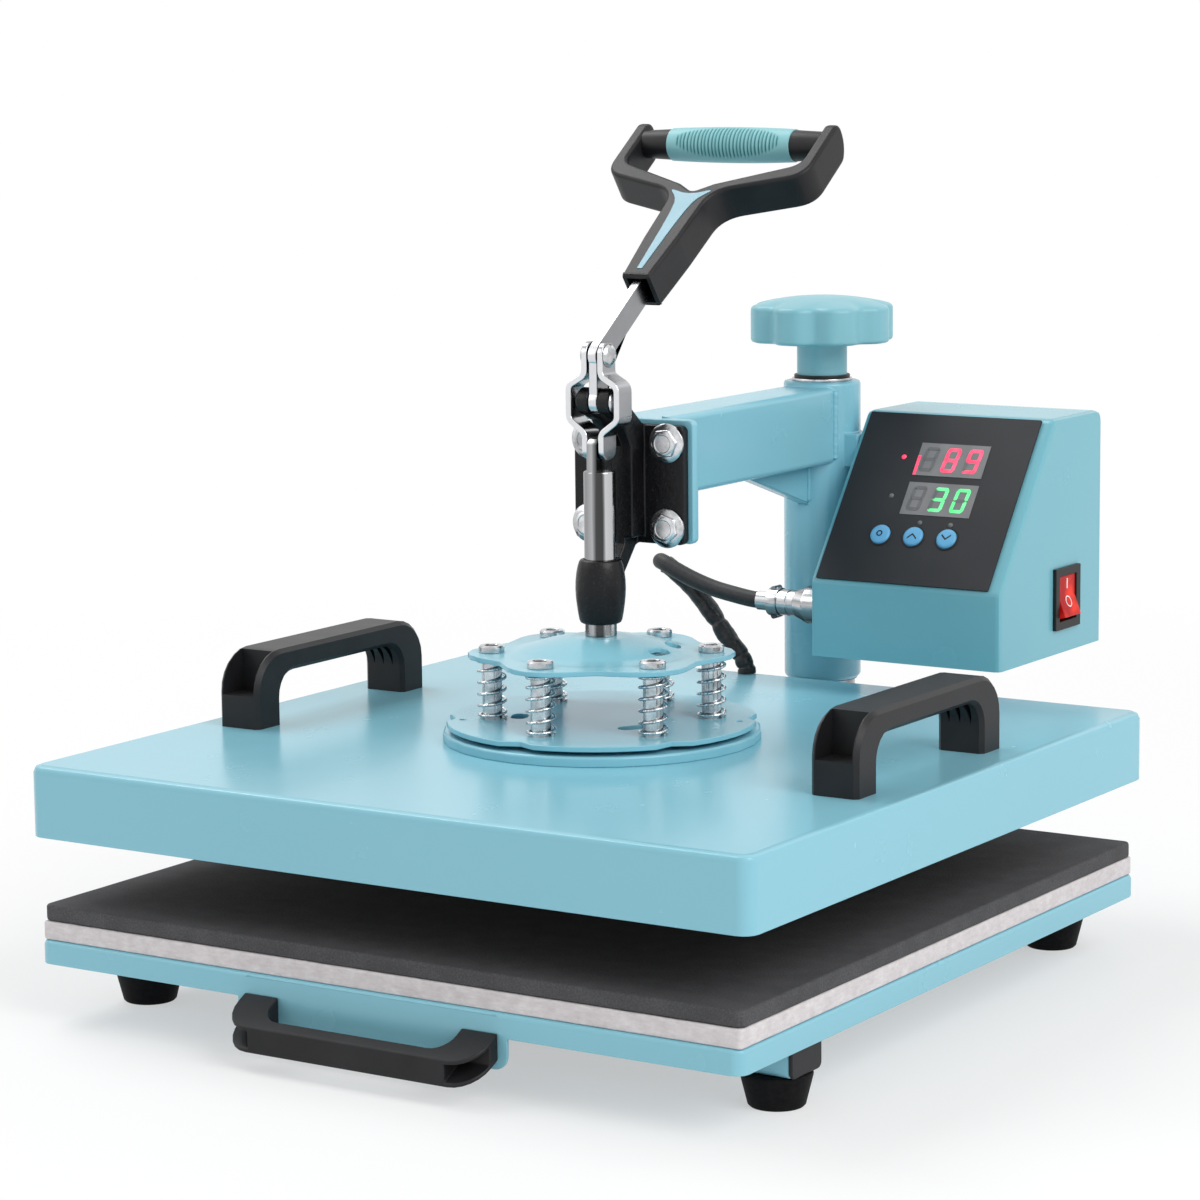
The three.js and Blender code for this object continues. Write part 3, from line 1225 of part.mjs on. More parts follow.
function buildClamp() {
  place('clamp_body', clampBody(), materials.blackPaint);
  boltPlaces().forEach(([x, z], i) => place(`flange_bolt_${i + 1}`, flangeBolt(x, z), materials.zinc));
  place('pivot_pin', headedPin(leverPivotZ, ear.outer + seatGap), materials.zinc);
  place('toggle_lever', toggleLever(), materials.zinc);
  place('link_left', linkPlate(-1), materials.zinc);
  place('link_right', linkPlate(1), materials.zinc);
  place('upper_rivet', headedPin(linkPivotZ, link.inner + link.thickness + seatGap), materials.zinc);
  const leaning = new THREE.Group();
  leaning.position.set(0, mouthY, mouthZ);
  leaning.rotation.x = Math.PI / 2 - lean;
  press.add(leaning);
  place('t_handle', tHandle(), materials.blackPlastic, leaning);
  place('grip_sleeve', gripSleeve(), materials.tealGrip, leaning);
}

function buildPlunger() {
  place('plunger', plungerRod(), materials.zinc);
  const core = pin(plungerPivotZ, plunger.tongueHalf, plungerPinRadius - seatGap * 2);
  place('plunger_pin', core, materials.zinc);
  place('spider_plate', spiderPlate(), materials.bluePaint);
}

function buildHeater() {
  const wire = springWire();
  console.log(`spring: least gap between turns ${leastGap(wire.centre).toFixed(2)} mm`);
  boltAngles().forEach((angle, i) => {
    place(`shoulder_bolt_${i + 1}`, shoulderBoltAt(angle), materials.zinc);
    const coil = place(`spring_${i + 1}`, wire.geometry.clone(), materials.steel);
    coil.position.set(spider.boltCircle * Math.cos(angle), spider.boltCircle * Math.sin(angle), 0);
    coil.rotation.z = angle;
  });
  place('clamp_plate', scallopedPlate(), materials.bluePaint);
  place('mounting_disc', mountingDisc(), materials.bluePaint);
  place('heater_cover', heaterCover(), materials.bluePaint);
  place('heating_platen', heatingPlaten(), materials.aluminium);
  place('cover_handle_left', coverHandleAt(-1), materials.blackPlastic);
  place('cover_handle_right', coverHandleAt(1), materials.blackPlastic);
}

function buildControlBox() {
  place('control_box_shell', boxShell(), materials.bluePaint);
  place('control_box_floor', boxFloor(), materials.bluePaint);
  const sloped = new THREE.Group();
  sloped.position.set(box.left, box.front, box.kneeZ);
  sloped.rotation.x = slope;
  press.add(sloped);
  place('control_panel', controlPanel(), materials.panelBlack, sloped);
  buttonPlaces().forEach((spot, i) => {
    place(`push_button_${i + 1}`, pushButton(spot), materials.blueButton, sloped);
  });
  place('switch_frame', switchFrame(), materials.blackPlastic);
  place('rocker_switch', rockerKey(), materials.redLens);
  place('connector_plug', connectorPlug(), materials.zinc);
  place('cable', heaterCable(), materials.cableBlack);
}

buildBase();
buildDrawer();
buildColumnHead();
buildClamp();
buildPlunger();
buildHeater();
buildControlBox();

export default press;
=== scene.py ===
import json
import math

import bpy
from mathutils import Matrix, Vector
from mathutils.bvhtree import BVHTree
from mathutils.noise import noise as waver


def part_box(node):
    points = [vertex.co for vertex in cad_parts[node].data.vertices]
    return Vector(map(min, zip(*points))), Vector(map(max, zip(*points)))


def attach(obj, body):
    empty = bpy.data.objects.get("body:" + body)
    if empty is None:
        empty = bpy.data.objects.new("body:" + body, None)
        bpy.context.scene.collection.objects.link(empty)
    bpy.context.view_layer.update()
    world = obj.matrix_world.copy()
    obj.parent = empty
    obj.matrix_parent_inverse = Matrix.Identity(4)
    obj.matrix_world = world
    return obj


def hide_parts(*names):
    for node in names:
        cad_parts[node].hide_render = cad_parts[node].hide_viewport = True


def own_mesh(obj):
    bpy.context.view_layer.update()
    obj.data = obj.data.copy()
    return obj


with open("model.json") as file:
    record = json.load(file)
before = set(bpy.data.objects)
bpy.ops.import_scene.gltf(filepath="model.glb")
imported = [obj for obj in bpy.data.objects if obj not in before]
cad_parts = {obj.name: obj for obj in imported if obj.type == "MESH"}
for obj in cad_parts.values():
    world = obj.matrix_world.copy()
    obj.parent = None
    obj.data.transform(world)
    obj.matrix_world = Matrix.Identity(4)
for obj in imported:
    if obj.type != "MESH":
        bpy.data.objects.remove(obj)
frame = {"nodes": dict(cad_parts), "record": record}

nodes = frame["nodes"]
record = frame["record"]
slotOf = {part["node"]: part["material_slot"] for part in record["subparts"]}
bodyOf = {node: body for body, group in record["behaviour"]["bodies"].items() for node in group}
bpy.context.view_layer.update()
mm = 0.001
bpy.context.scene.view_settings.view_transform = "Standard"


# camera first: the photograph's viewing angle, fitted on the square heater
camera = {
    "place": (0.96638, -1.49163, 0.40606),
    "right": (0.84014, 0.54226, -0.01061),
    "up": (-0.07272, 0.13202, 0.98858),
    "back": (0.53747, -0.82977, 0.15035),
    "lens": 113.18,
    "shift": (-0.0009, -0.0057),
}


def addCamera():
    data = bpy.data.cameras.new("camera")
    data.sensor_width = 36
    data.lens = camera["lens"]
    data.shift_x, data.shift_y = camera["shift"]
    data.clip_start = 0.05
    data.clip_end = 50
    eye = placed("camera", data)
    turn = Matrix((camera["right"], camera["up"], camera["back"])).transposed()
    eye.matrix_world = Matrix.Translation(camera["place"]) @ turn.to_4x4()
    bpy.context.scene.camera = eye


# shader maths: a socket that adds and multiplies as numbers do
class Value:
    def __init__(self, graph, socket):
        self.graph = graph
        self.socket = socket

    def maths(self, operation, *others):
        inputs = {0: self}
        for slot, other in enumerate(others, 1):
            inputs[slot] = other
        return self.graph.add("ShaderNodeMath", {"operation": operation}, inputs)

    def __add__(self, other):
        return self.maths("ADD", other)

    def __mul__(self, other):
        return self.maths("MULTIPLY", other)

    __radd__ = __add__
    __rmul__ = __mul__


class Graph:
    def __init__(self, name):
        self.material = bpy.data.materials.new(name)
        self.material.use_nodes = True
        self.tree = self.material.node_tree
        self.tree.nodes.clear()
        self.shader = self.tree.nodes.new("ShaderNodeBsdfPrincipled")
        self.output = self.tree.nodes.new("ShaderNodeOutputMaterial")
        self.tree.links.new(self.shader.outputs[0], self.output.inputs[0])

    # one node: settings first, then what its sockets get
    def add(self, kind, settings=None, inputs=None, output=0):
        node = self.tree.nodes.new(kind)
        for name, value in (settings or {}).items():
            if name == "stops":
                self.setStops(node.color_ramp, value)
            else:
                setattr(node, name, value)
        for name, value in (inputs or {}).items():
            self.feed(node.inputs[name], value)
        return Value(self, node.outputs[output])

    def setStops(self, ramp, stops):
        while len(ramp.elements) < len(stops):
            ramp.elements.new(0.5)
        for element, (position, colour) in zip(ramp.elements, stops):
            element.position = position
            element.color = (*colour, 1)

    def feed(self, socket, value):
        if isinstance(value, Value):
            self.tree.links.new(value.socket, socket)
        elif socket.type == "RGBA" and len(value) == 3:
            socket.default_value = (*value, 1)
        else:
            socket.default_value = value

    def place(self):
        return self.add("ShaderNodeTexCoord", {}, {}, "Object")

    def mapped(self, scale):
        return self.add("ShaderNodeMapping", {}, {"Vector": self.place(), "Scale": scale})

    def noise(self, size, detail=3.0, rough=0.5, vector=None):
        inputs = {"Vector": vector or self.place(), "Scale": 1 / size, "Detail": detail, "Roughness": rough}
        return self.add("ShaderNodeTexNoise", {}, inputs, "Fac")

    def ramp(self, value, stops):
        return self.add("ShaderNodeValToRGB", {"stops": stops}, {"Fac": value}, "Color")

    def blend(self, amount, first, second):
        return self.add("ShaderNodeMix", {"data_type": "RGBA"}, {0: amount, 6: first, 7: second}, 2)

    def bump(self, height, strength, distance):
        inputs = {"Height": height, "Strength": strength, "Distance": distance}
        return self.add("ShaderNodeBump", {}, inputs, "Normal")

    def finish(self, **sockets):
        for name, value in sockets.items():
            self.feed(self.shader.inputs[name.replace("_", " ")], value)
        return self.material


# finishes, with colours, and grain sizes in metres
paintLook = {
    "patch": 0.22, "rough": 0.26, "scuff": 0.03, "peel": 0.0032, "peelDepth": 0.00005,
}


def bluePaint(name, dark, pale):
    look = paintLook
    graph = Graph(name)
    colour = graph.blend(graph.noise(look["patch"], 2), dark, pale)
    rough = graph.noise(look["scuff"], 4) * 0.08 + (look["rough"] - 0.04)
    return graph.finish(
        Base_Color=colour, Roughness=rough, Specular_IOR_Level=0.4, Coat_Weight=0.12, Coat_Roughness=0.1,
        Normal=graph.bump(graph.noise(look["peel"], 2), 0.14, look["peelDepth"]),
    )


def bluePlastic(name, dark, pale):
    graph = Graph(name)
    colour = graph.blend(graph.noise(0.05, 2), dark, pale)
    return graph.finish(
        Base_Color=colour, Roughness=graph.noise(0.01, 3) * 0.12 + 0.3,
        Normal=graph.bump(graph.noise(0.0008, 2), 0.15, 0.00006),
    )


def blackPaint():
    graph = Graph("blackPaint")
    peel = graph.noise(0.0024, 3)
    fleck = graph.noise(0.0012, 2)
    colour = graph.ramp(fleck, [(0.6, (0.004, 0.004, 0.005)), (0.74, (0.02, 0.02, 0.022))])
    return graph.finish(
        Base_Color=colour, Roughness=peel * 0.25 + 0.24, Specular_IOR_Level=0.28,
        Normal=graph.bump(peel, 0.6, 0.0003),
    )


# plated zinc: a cloud of tones, partly the plating's own mottle and partly painted reflections
def zincMottleReflections(name, shades):
    graph = Graph(name)
    cloud = graph.noise(0.008, 5, 0.6)
    fine = graph.noise(0.0007, 2)
    stops = [(share, (shade, shade * 1.012, shade * 1.04)) for share, shade in zip((0.32, 0.5, 0.68), shades)]
    return graph.finish(
        Base_Color=graph.ramp(cloud, stops), Metallic=1.0, Roughness=cloud * 0.18 + fine * 0.08 + 0.1,
        Normal=graph.bump(fine, 0.15, 0.00003),
    )


# a finish whose colour, roughness and bump all come from one grain
def grained(name, grain, stops, rough, bump=None, glow=0, **sockets):
    graph = Graph(name)
    cloud = graph.noise(*grain)
    colour = graph.ramp(cloud, stops)
    sockets["Roughness"] = cloud * rough[0] + rough[1] if isinstance(rough, tuple) else rough
    if bump:
        sockets["Normal"] = graph.bump(cloud, *bump)
    if glow:
        sockets.update(Emission_Color=colour, Emission_Strength=glow)
    return graph.finish(Base_Color=colour, **sockets)


# painted reflections on polished steel: light and dark bands across a rod, as shares of its width along a
# direction
rodReflectionBands = [
    (0.0, 0.2), (0.12, 0.34), (0.26, 0.44), (0.33, 0.2), (0.38, 0.07), (0.58, 0.06), (0.63, 0.24),
    (0.68, 0.58), (0.9, 0.5), (0.97, 0.16),
]
# the plug's bands run by height: a painted highlight near the top and painted shade towards the bottom
plugReflectionBands = [
    (0.0, 0.08), (0.2, 0.2), (0.36, 0.25), (0.45, 0.62), (0.58, 0.5), (0.7, 0.34), (0.8, 0.9),
    (0.9, 0.7), (1.0, 0.3),
]
bandWander = 0.08


def paintedReflectionSteel(name, slope, start, bands):
    graph = Graph(name)
    ends = {0: graph.place(), 1: slope}
    along = graph.add("ShaderNodeVectorMath", {"operation": "DOT_PRODUCT"}, ends, "Value")
    wander = graph.noise(0.003, 2, 0.5, graph.mapped((1.0, 1.0, 0.05))) * bandWander
    stops = [(share, (shade, shade * 1.01, shade * 1.03)) for share, shade in bands]
    colour = graph.ramp(along + start + wander + -bandWander / 2, stops)
    return graph.finish(Base_Color=colour, Metallic=1.0, Roughness=graph.noise(0.004, 3) * 0.08 + 0.14)


# plated bar with painted light: shades within and past a distance from the middle plane, which give the
# narrow edges a painted highlight and the broad faces a darker shade
def edgeHighlightSteel(name, axis, reach, shades):
    graph = Graph(name)
    spot = graph.add("ShaderNodeSeparateXYZ", {}, {0: graph.place()}, axis)
    step = {"Value": spot.maths("ABSOLUTE"), "From Min": reach[0], "From Max": reach[1]}
    share = graph.add("ShaderNodeMapRange", {}, step, "Result")
    near, far = ((shade, shade * 1.01, shade * 1.04) for shade in shades)
    cloud = graph.noise(0.009, 4)
    shine = graph.blend(cloud * 0.5, graph.blend(share, near, far), (0.42, 0.43, 0.45))
    return graph.finish(Base_Color=shine, Metallic=1.0, Roughness=cloud * 0.14 + 0.16)


def blackPlastic():
    graph = Graph("blackPlastic")
    spark = graph.noise(0.0008, 2)
    sheen = graph.noise(0.02, 3)
    colour = graph.ramp(sheen, [(0.35, (0.0095, 0.0095, 0.0105)), (0.7, (0.016, 0.016, 0.0178))])
    return graph.finish(
        Base_Color=colour, Roughness=sheen * 0.1 + 0.38, Specular_IOR_Level=0.28,
        Normal=graph.bump(spark, 0.4, 0.00014),
    )


# the ribs' depth is kept on the sleeve as an attribute, and it paints shade into their floors
def tealRubberRibShade():
    graph = Graph("tealRubberRibShade")
    rib = graph.add("ShaderNodeAttribute", {"attribute_name": "rib"}, {}, "Fac")
    even = graph.blend(graph.noise(0.03, 2), (0.235, 0.54, 0.58), (0.265, 0.58, 0.62))
    # painted shade: the deeper the rib floor, the darker the teal
    colour = graph.blend(rib, even, (0.035, 0.235, 0.255))
    return graph.finish(
        Base_Color=colour, Roughness=0.46, Normal=graph.bump(graph.noise(0.001, 2), 0.2, 0.0001),
    )


def sponge():
    graph = Graph("sponge")
    cell = graph.noise(0.0009, 3, 0.6)
    mottle = graph.noise(0.012, 3)
    shade = cell * 0.7 + mottle * 0.3
    stops = [(0.36, (0.045, 0.045, 0.048)), (0.5, (0.062, 0.062, 0.066)), (0.64, (0.088, 0.088, 0.093))]
    return graph.finish(
        Base_Color=graph.ramp(shade, stops), Roughness=0.85, Normal=graph.bump(cell, 0.5, 0.0003),
    )


def felt():
    graph = Graph("felt")
    fibre = graph.noise(0.0014, 5, 0.65, graph.mapped((0.35, 0.35, 1.0)))
    clump = graph.noise(0.006, 4)
    shade = fibre * 0.6 + clump * 0.4
    stops = [(0.3, (0.58, 0.54, 0.55)), (0.5, (0.68, 0.64, 0.65)), (0.7, (0.79, 0.76, 0.765))]
    return graph.finish(
        Base_Color=graph.ramp(shade, stops), Roughness=0.95, Normal=graph.bump(shade, 0.7, 0.0006),
    )


def panelFilm():
    graph = Graph("panelFilm")
    grain = graph.noise(0.0006, 2)
    mist = graph.noise(0.05, 2)
    colour = graph.ramp(mist, [(0.3, (0.017, 0.018, 0.021)), (0.7, (0.026, 0.027, 0.031))])
    return graph.finish(
        Base_Color=colour, Roughness=grain * 0.14 + 0.4, Specular_IOR_Level=0.3,
        Normal=graph.bump(grain, 0.2, 0.00005),
    )


def displayGlass():
    graph = Graph("displayGlass")
    colour = graph.ramp(graph.noise(0.012, 2), [(0.3, (0.2, 0.2, 0.205)), (0.7, (0.25, 0.245, 0.25))])
    rough = graph.noise(0.004, 2) * 0.1 + 0.25
    return graph.finish(Base_Color=colour, Roughness=rough, Specular_IOR_Level=0.3)


def blueButton():
    graph = Graph("blueButton")
    colour = graph.blend(graph.noise(0.006, 2), (0.115, 0.4, 0.68), (0.14, 0.45, 0.74))
    return graph.finish(Base_Color=colour, Roughness=graph.noise(0.001, 2) * 0.1 + 0.35)


looks = {
    "blue_paint": bluePaint("bluePaint", (0.235, 0.545, 0.655), (0.255, 0.57, 0.68)),
    "box": bluePaint("boxPaint", (0.168, 0.455, 0.54), (0.184, 0.478, 0.562)),
    "blue_plastic": bluePlastic("bluePlastic", (0.215, 0.5, 0.57), (0.235, 0.525, 0.6)),
    "black_paint": blackPaint(), "zinc": zincMottleReflections("zincMottleReflections", (0.36, 0.56, 0.78)),
    "post": zincMottleReflections("postZinc", (0.2, 0.3, 0.42)),
    "steel": grained(
        "springSteel", (0.0009, 3),
        [(0.34, (0.3, 0.34, 0.36)), (0.5, (0.62, 0.64, 0.65)), (0.68, (0.93, 0.93, 0.94))],
        (0.12, 0.1), Metallic=1.0,
    ),
    "aluminium": grained(
        "castAluminium", (0.002, 4), [(0.3, (0.16, 0.165, 0.17)), (0.7, (0.26, 0.265, 0.27))], (0.2, 0.4),
        (0.3, 0.0002), Metallic=0.8,
    ),
    "black_plastic": blackPlastic(),
    "rubber": grained(
        "footRubber", (0.0025, 4), [(0.3, (0.003, 0.003, 0.0035)), (0.75, (0.009, 0.009, 0.01))], 0.62,
        (0.35, 0.0002), Specular_IOR_Level=0.1,
    ),
    "teal_grip": tealRubberRibShade(), "sponge": sponge(), "felt": felt(),
    "panel_black": panelFilm(), "blue_button": blueButton(), "glass": displayGlass(),
    "red_lens": grained(
        "redLens", (0.011, 2), [(0.4, (0.3, 0.004, 0.004)), (0.68, (0.66, 0.03, 0.016))], 0.26, None, 0.45,
        Specular_IOR_Level=0.12,
    ),
    "cable_black": grained(
        "cableJacket", (0.002, 3), [(0.3, (0.012, 0.012, 0.013)), (0.7, (0.026, 0.026, 0.028))], (0.15, 0.42),
        (0.3, 0.0001), Specular_IOR_Level=0.35,
    ),
    "sleeve": grained(
        "wrinkledSleeve", (0.007, 4, 0.6), [(0.35, (0.007, 0.008, 0.009)), (0.7, (0.026, 0.025, 0.027))],
        (0.25, 0.28), (0.6, 0.0008), Specular_IOR_Level=0.35,
    ),
    "dim": grained("dimFilm", (0.006, 2), [(0.3, (0.12, 0.12, 0.125)), (0.7, (0.15, 0.15, 0.155))], 0.4),
    "stripe": bluePlastic("paleBlue", (0.2, 0.41, 0.5), (0.22, 0.44, 0.53)),
    # painted reflections: bands across the plunger rod, and bands by height on the plug
    "rod": paintedReflectionSteel("rodSteelPaintedReflections", (55.3, 35.5, 0), 0.5, rodReflectionBands),
    "plug": paintedReflectionSteel("plugSteelPaintedReflections", (0, 0, 74), -7.529, plugReflectionBands),
    # lever: painted highlight on its narrow edges and painted shade on its broad sides; link: painted
    # highlight on its narrow edges
    "lever": edgeHighlightSteel("leverSteel", "X", (0.0019, 0.0022), (0.8, 0.26)),
    "link": edgeHighlightSteel("linkSteelEdgeHighlight", "Y", (0.0052, 0.0058), (0.36, 0.86)),
    "red": grained(
        "redFilm", (0.006, 2), [(0.3, (0.9, 0.03, 0.1)), (0.7, (1.0, 0.09, 0.17))], 0.4, None, 0.85,
    ),
    "green": grained(
        "greenFilm", (0.006, 2), [(0.3, (0.08, 0.62, 0.2)), (0.7, (0.16, 0.8, 0.3))], 0.4, None, 0.7,
    ),
    "white": grained("markWhite", (0.002, 2), [(0.3, (0.78, 0.76, 0.76)), (0.7, (0.88, 0.86, 0.86))], 0.4),
}
print("stage: materials")


# an object for the data, in the scene
def placed(name, data):
    piece = bpy.data.objects.new(name, data)
    bpy.context.scene.collection.objects.link(piece)
    return piece


# small modelling helpers: places and sizes come in millimetres, the meshes are in metres
def pick(piece):
    bpy.ops.object.select_all(action="DESELECT")
    piece.select_set(True)
    bpy.context.view_layer.objects.active = piece


def beginEdit(piece):
    pick(piece)
    bpy.ops.object.mode_set(mode="EDIT")
    bpy.ops.mesh.select_all(action="SELECT")


def endEdit():
    bpy.ops.object.mode_set(mode="OBJECT")


def dress(piece, look):
    piece.data.materials.clear()
    piece.data.materials.append(looks[look])


def useModifier(piece, kind, **settings):
    pick(piece)
    modifier = piece.modifiers.new(kind.lower(), kind)
    for name, value in settings.items():
        setattr(modifier, name, value)
    bpy.ops.object.modifier_apply(modifier=modifier.name)


def roundEdges(piece, width, segments=3, angle=35):
    useModifier(
        piece, "BEVEL", width=width * mm, segments=segments, limit_method="ANGLE",
        angle_limit=math.radians(angle), use_clamp_overlap=False, harden_normals=False,
    )


# rounds the edges whose two ends, in millimetres, suit the rule
def bevelEdges(piece, width, segments, suits):
    beginEdit(piece)
    bpy.ops.mesh.select_mode(type="EDGE")
    bpy.ops.mesh.select_all(action="DESELECT")
    endEdit()
    for edge in piece.data.edges:
        edge.select = suits(*(piece.data.vertices[i].co / mm for i in edge.vertices))
    pick(piece)
    bpy.ops.object.mode_set(mode="EDIT")
    bpy.ops.mesh.bevel(offset=width * mm, segments=segments, affect="EDGES")
    endEdit()


def smooth(piece, angle=35):
    pick(piece)
    bpy.ops.object.shade_smooth_by_angle(angle=math.radians(angle))
    useModifier(piece, "WEIGHTED_NORMAL", keep_sharp=True, weight=60)


# the piece's look, the slot it takes its finish from, the body it rides on and what it stands for
def seat(piece, body, slot, look=None, stands=(), angle=35):
    smooth(piece, angle)
    dress(piece, look or slot)
    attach(piece, body)
    if stands:
        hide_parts(*stands)
    return piece


def started(name, addPrimitive, **settings):
    bpy.ops.object.select_all(action="DESELECT")
    addPrimitive(**settings)
    piece = bpy.context.object
    piece.name = name
    bpy.ops.object.transform_apply(location=True, rotation=True, scale=True)
    return piece


def box(name, low, high):
    middle = [(a + b) / 2 * mm for a, b in zip(low, high)]
    spans = [(b - a) * mm for a, b in zip(low, high)]
    return started(name, bpy.ops.mesh.primitive_cube_add, size=1, location=middle, scale=spans)


def rod(name, radius, start, end, sides=48):
    start, end = Vector(start) * mm, Vector(end) * mm
    turn = (end - start).to_track_quat("Z", "Y").to_euler()
    return started(
        name, bpy.ops.mesh.primitive_cylinder_add, vertices=sides, radius=radius * mm,
        depth=(end - start).length, location=(start + end) / 2, rotation=turn,
    )


# one vertex pulled along the points; edit mode stays on
def chain(name, points):
    steps = [Vector(point) * mm for point in points]
    piece = started(name, bpy.ops.mesh.primitive_plane_add, size=mm, location=steps[0])
    beginEdit(piece)
    bpy.ops.mesh.select_mode(type="VERT")
    bpy.ops.mesh.merge(type="CENTER")
    for start, end in zip(steps, steps[1:]):
        bpy.ops.mesh.extrude_region_move(TRANSFORM_OT_translate={"value": end - start})
    return piece


def slab(name, outline, along):
    piece = chain(name, outline)
    bpy.ops.mesh.select_all(action="SELECT")
    bpy.ops.mesh.edge_face_add()
    bpy.ops.mesh.extrude_region_move(TRANSFORM_OT_translate={"value": Vector(along) * mm})
    bpy.ops.mesh.select_all(action="SELECT")
    bpy.ops.mesh.normals_make_consistent(inside=False)
    endEdit()
    return piece


# a profile of (radius, height) spun round the axis that starts at the place
def lathe(name, profile, place=(0, 0, 0), axis=(0, 0, 1), steps=48):
    piece = chain(name, [(radius, 0, height) for radius, height in profile])
    bpy.ops.mesh.select_all(action="SELECT")
    bpy.ops.mesh.spin(steps=steps, angle=math.tau, center=(0, 0, 0), axis=(0, 0, 1))
    bpy.ops.mesh.select_all(action="SELECT")
    bpy.ops.mesh.remove_doubles(threshold=mm / 1000)
    bpy.ops.mesh.normals_make_consistent(inside=False)
    endEdit()
    turn = Vector(axis).to_track_quat("Z", "Y").to_matrix().to_4x4()
    piece.data.transform(Matrix.Translation(Vector(place) * mm) @ turn)
    return piece


def copied(piece, name, move):
    other = placed(name, piece.data.copy())
    other.data.transform(Matrix.Translation(Vector(move) * mm))
    return other


def joined(name, *pieces):
    bpy.ops.object.select_all(action="DESELECT")
    for piece in pieces:
        piece.select_set(True)
    bpy.context.view_layer.objects.active = pieces[0]
    bpy.ops.object.join()
    pieces[0].name = name
    return pieces[0]


def cutOut(piece, cutter):
    useModifier(piece, "BOOLEAN", operation="DIFFERENCE", object=cutter, solver="EXACT")
    bpy.data.objects.remove(cutter)


# corners of a way of points rounded by arcs, with one radius or one for each corner
def rounded(points, radius, steps=5, closed=False):
    way = [Vector(point) for point in points]
    count = len(way)
    inner = range(count) if closed else range(1, count - 1)
    result = [] if closed else [way[0]]
    for index in inner:
        corner = way[index]
        before = way[index - 1] - corner
        after = way[(index + 1) % count] - corner
        half = before.angle(after) / 2
        bend = radius[index] if isinstance(radius, list) else radius
        reach = min(bend / math.tan(half), before.length / 2, after.length / 2)
        start, end = corner + before.normalized() * reach, corner + after.normalized() * reach
        for step in range(steps + 1):
            share = step / steps
            result.append(start * (1 - share) ** 2 + corner * 2 * share * (1 - share) + end * share ** 2)
    return result if closed else result + [way[-1]]


def tube(name, points, radius, widths=None, sides=4):
    data = bpy.data.curves.new(name, "CURVE")
    data.dimensions = "3D"
    data.bevel_depth = radius * mm
    data.bevel_resolution = sides
    data.use_fill_caps = True
    spline = data.splines.new("POLY")
    spline.points.add(len(points) - 1)
    for index, point in enumerate(points):
        spline.points[index].co = (*(Vector(point) * mm), 1)
        spline.points[index].radius = widths[index] if widths else 1
    pick(placed(name, data))
    bpy.ops.object.convert(target="MESH")
    return bpy.context.object


def reshape(piece, rule):
    for vertex in piece.data.vertices:
        vertex.co = rule(vertex.co / mm) * mm
    piece.data.update()


def hitOn(node, start, direction):
    mesh = nodes[node].data
    tree = BVHTree.FromPolygons([v.co for v in mesh.vertices], [p.vertices for p in mesh.polygons])
    place, normal, _, _ = tree.ray_cast(Vector(start) * mm, Vector(direction))
    return place / mm, normal


# pieces that keep the CAD node's form: merged, cleaned and given their small edge rounds
roundings = {
    "base_frame": 0.6, "column_post": 0.5, "tube_cap_front_left": 0.7, "tube_cap_front_right": 0.7,
    "tube_cap_rear_left": 0.7, "tube_cap_rear_right": 0.7, "base_tray": 0.35, "front_handle": 0.7,
    "swing_arm": 0.9, "clamp_body": 0.9, "control_box_shell": 0, "control_box_floor": 0.3,
    "switch_frame": 0.4, "rocker_switch": 0.35, "toggle_lever": 0.6,
    "spider_plate": 0.45, "clamp_plate": 0.4, "mounting_disc": 0.5, "heater_cover": 0.3,
    "heating_platen": 0.6, "cover_handle_left": 0, "cover_handle_right": 0,
}
# finishes of their own for nodes that share a slot
ownLooks = {"toggle_lever": "lever", "control_box_shell": "box", "column_post": "post"}


def camel(name):
    first, *rest = name.split("_")
    return first + "".join(word.capitalize() for word in rest)


def softened(node, width):
    piece = placed(camel(node), nodes[node].data.copy())
    pick(piece)
    bpy.ops.mesh.customdata_custom_splitnormals_clear()
    beginEdit(piece)
    bpy.ops.mesh.remove_doubles(threshold=mm / 500)
    bpy.ops.mesh.dissolve_limited(angle_limit=math.radians(0.6))
    endEdit()
    if width:
        roundEdges(piece, width, 3, 38)
    return seat(piece, bodyOf[node], slotOf[node], ownLooks.get(node), [node], 33)


def softenNodes():
    for node, width in roundings.items():
        softened(node, width)


# work pad: a slab of sponge whose face is a little uneven, on a thicker felt
padLook = {"cuts": 46, "wave": 0.16, "waveSize": 24, "edge": 1.3, "corner": 4, "settle": 0.25}
feltLook = {"cuts": 46, "wave": 0.3, "waveSize": 6, "edge": 0.9, "corner": 2.5, "settle": 0}


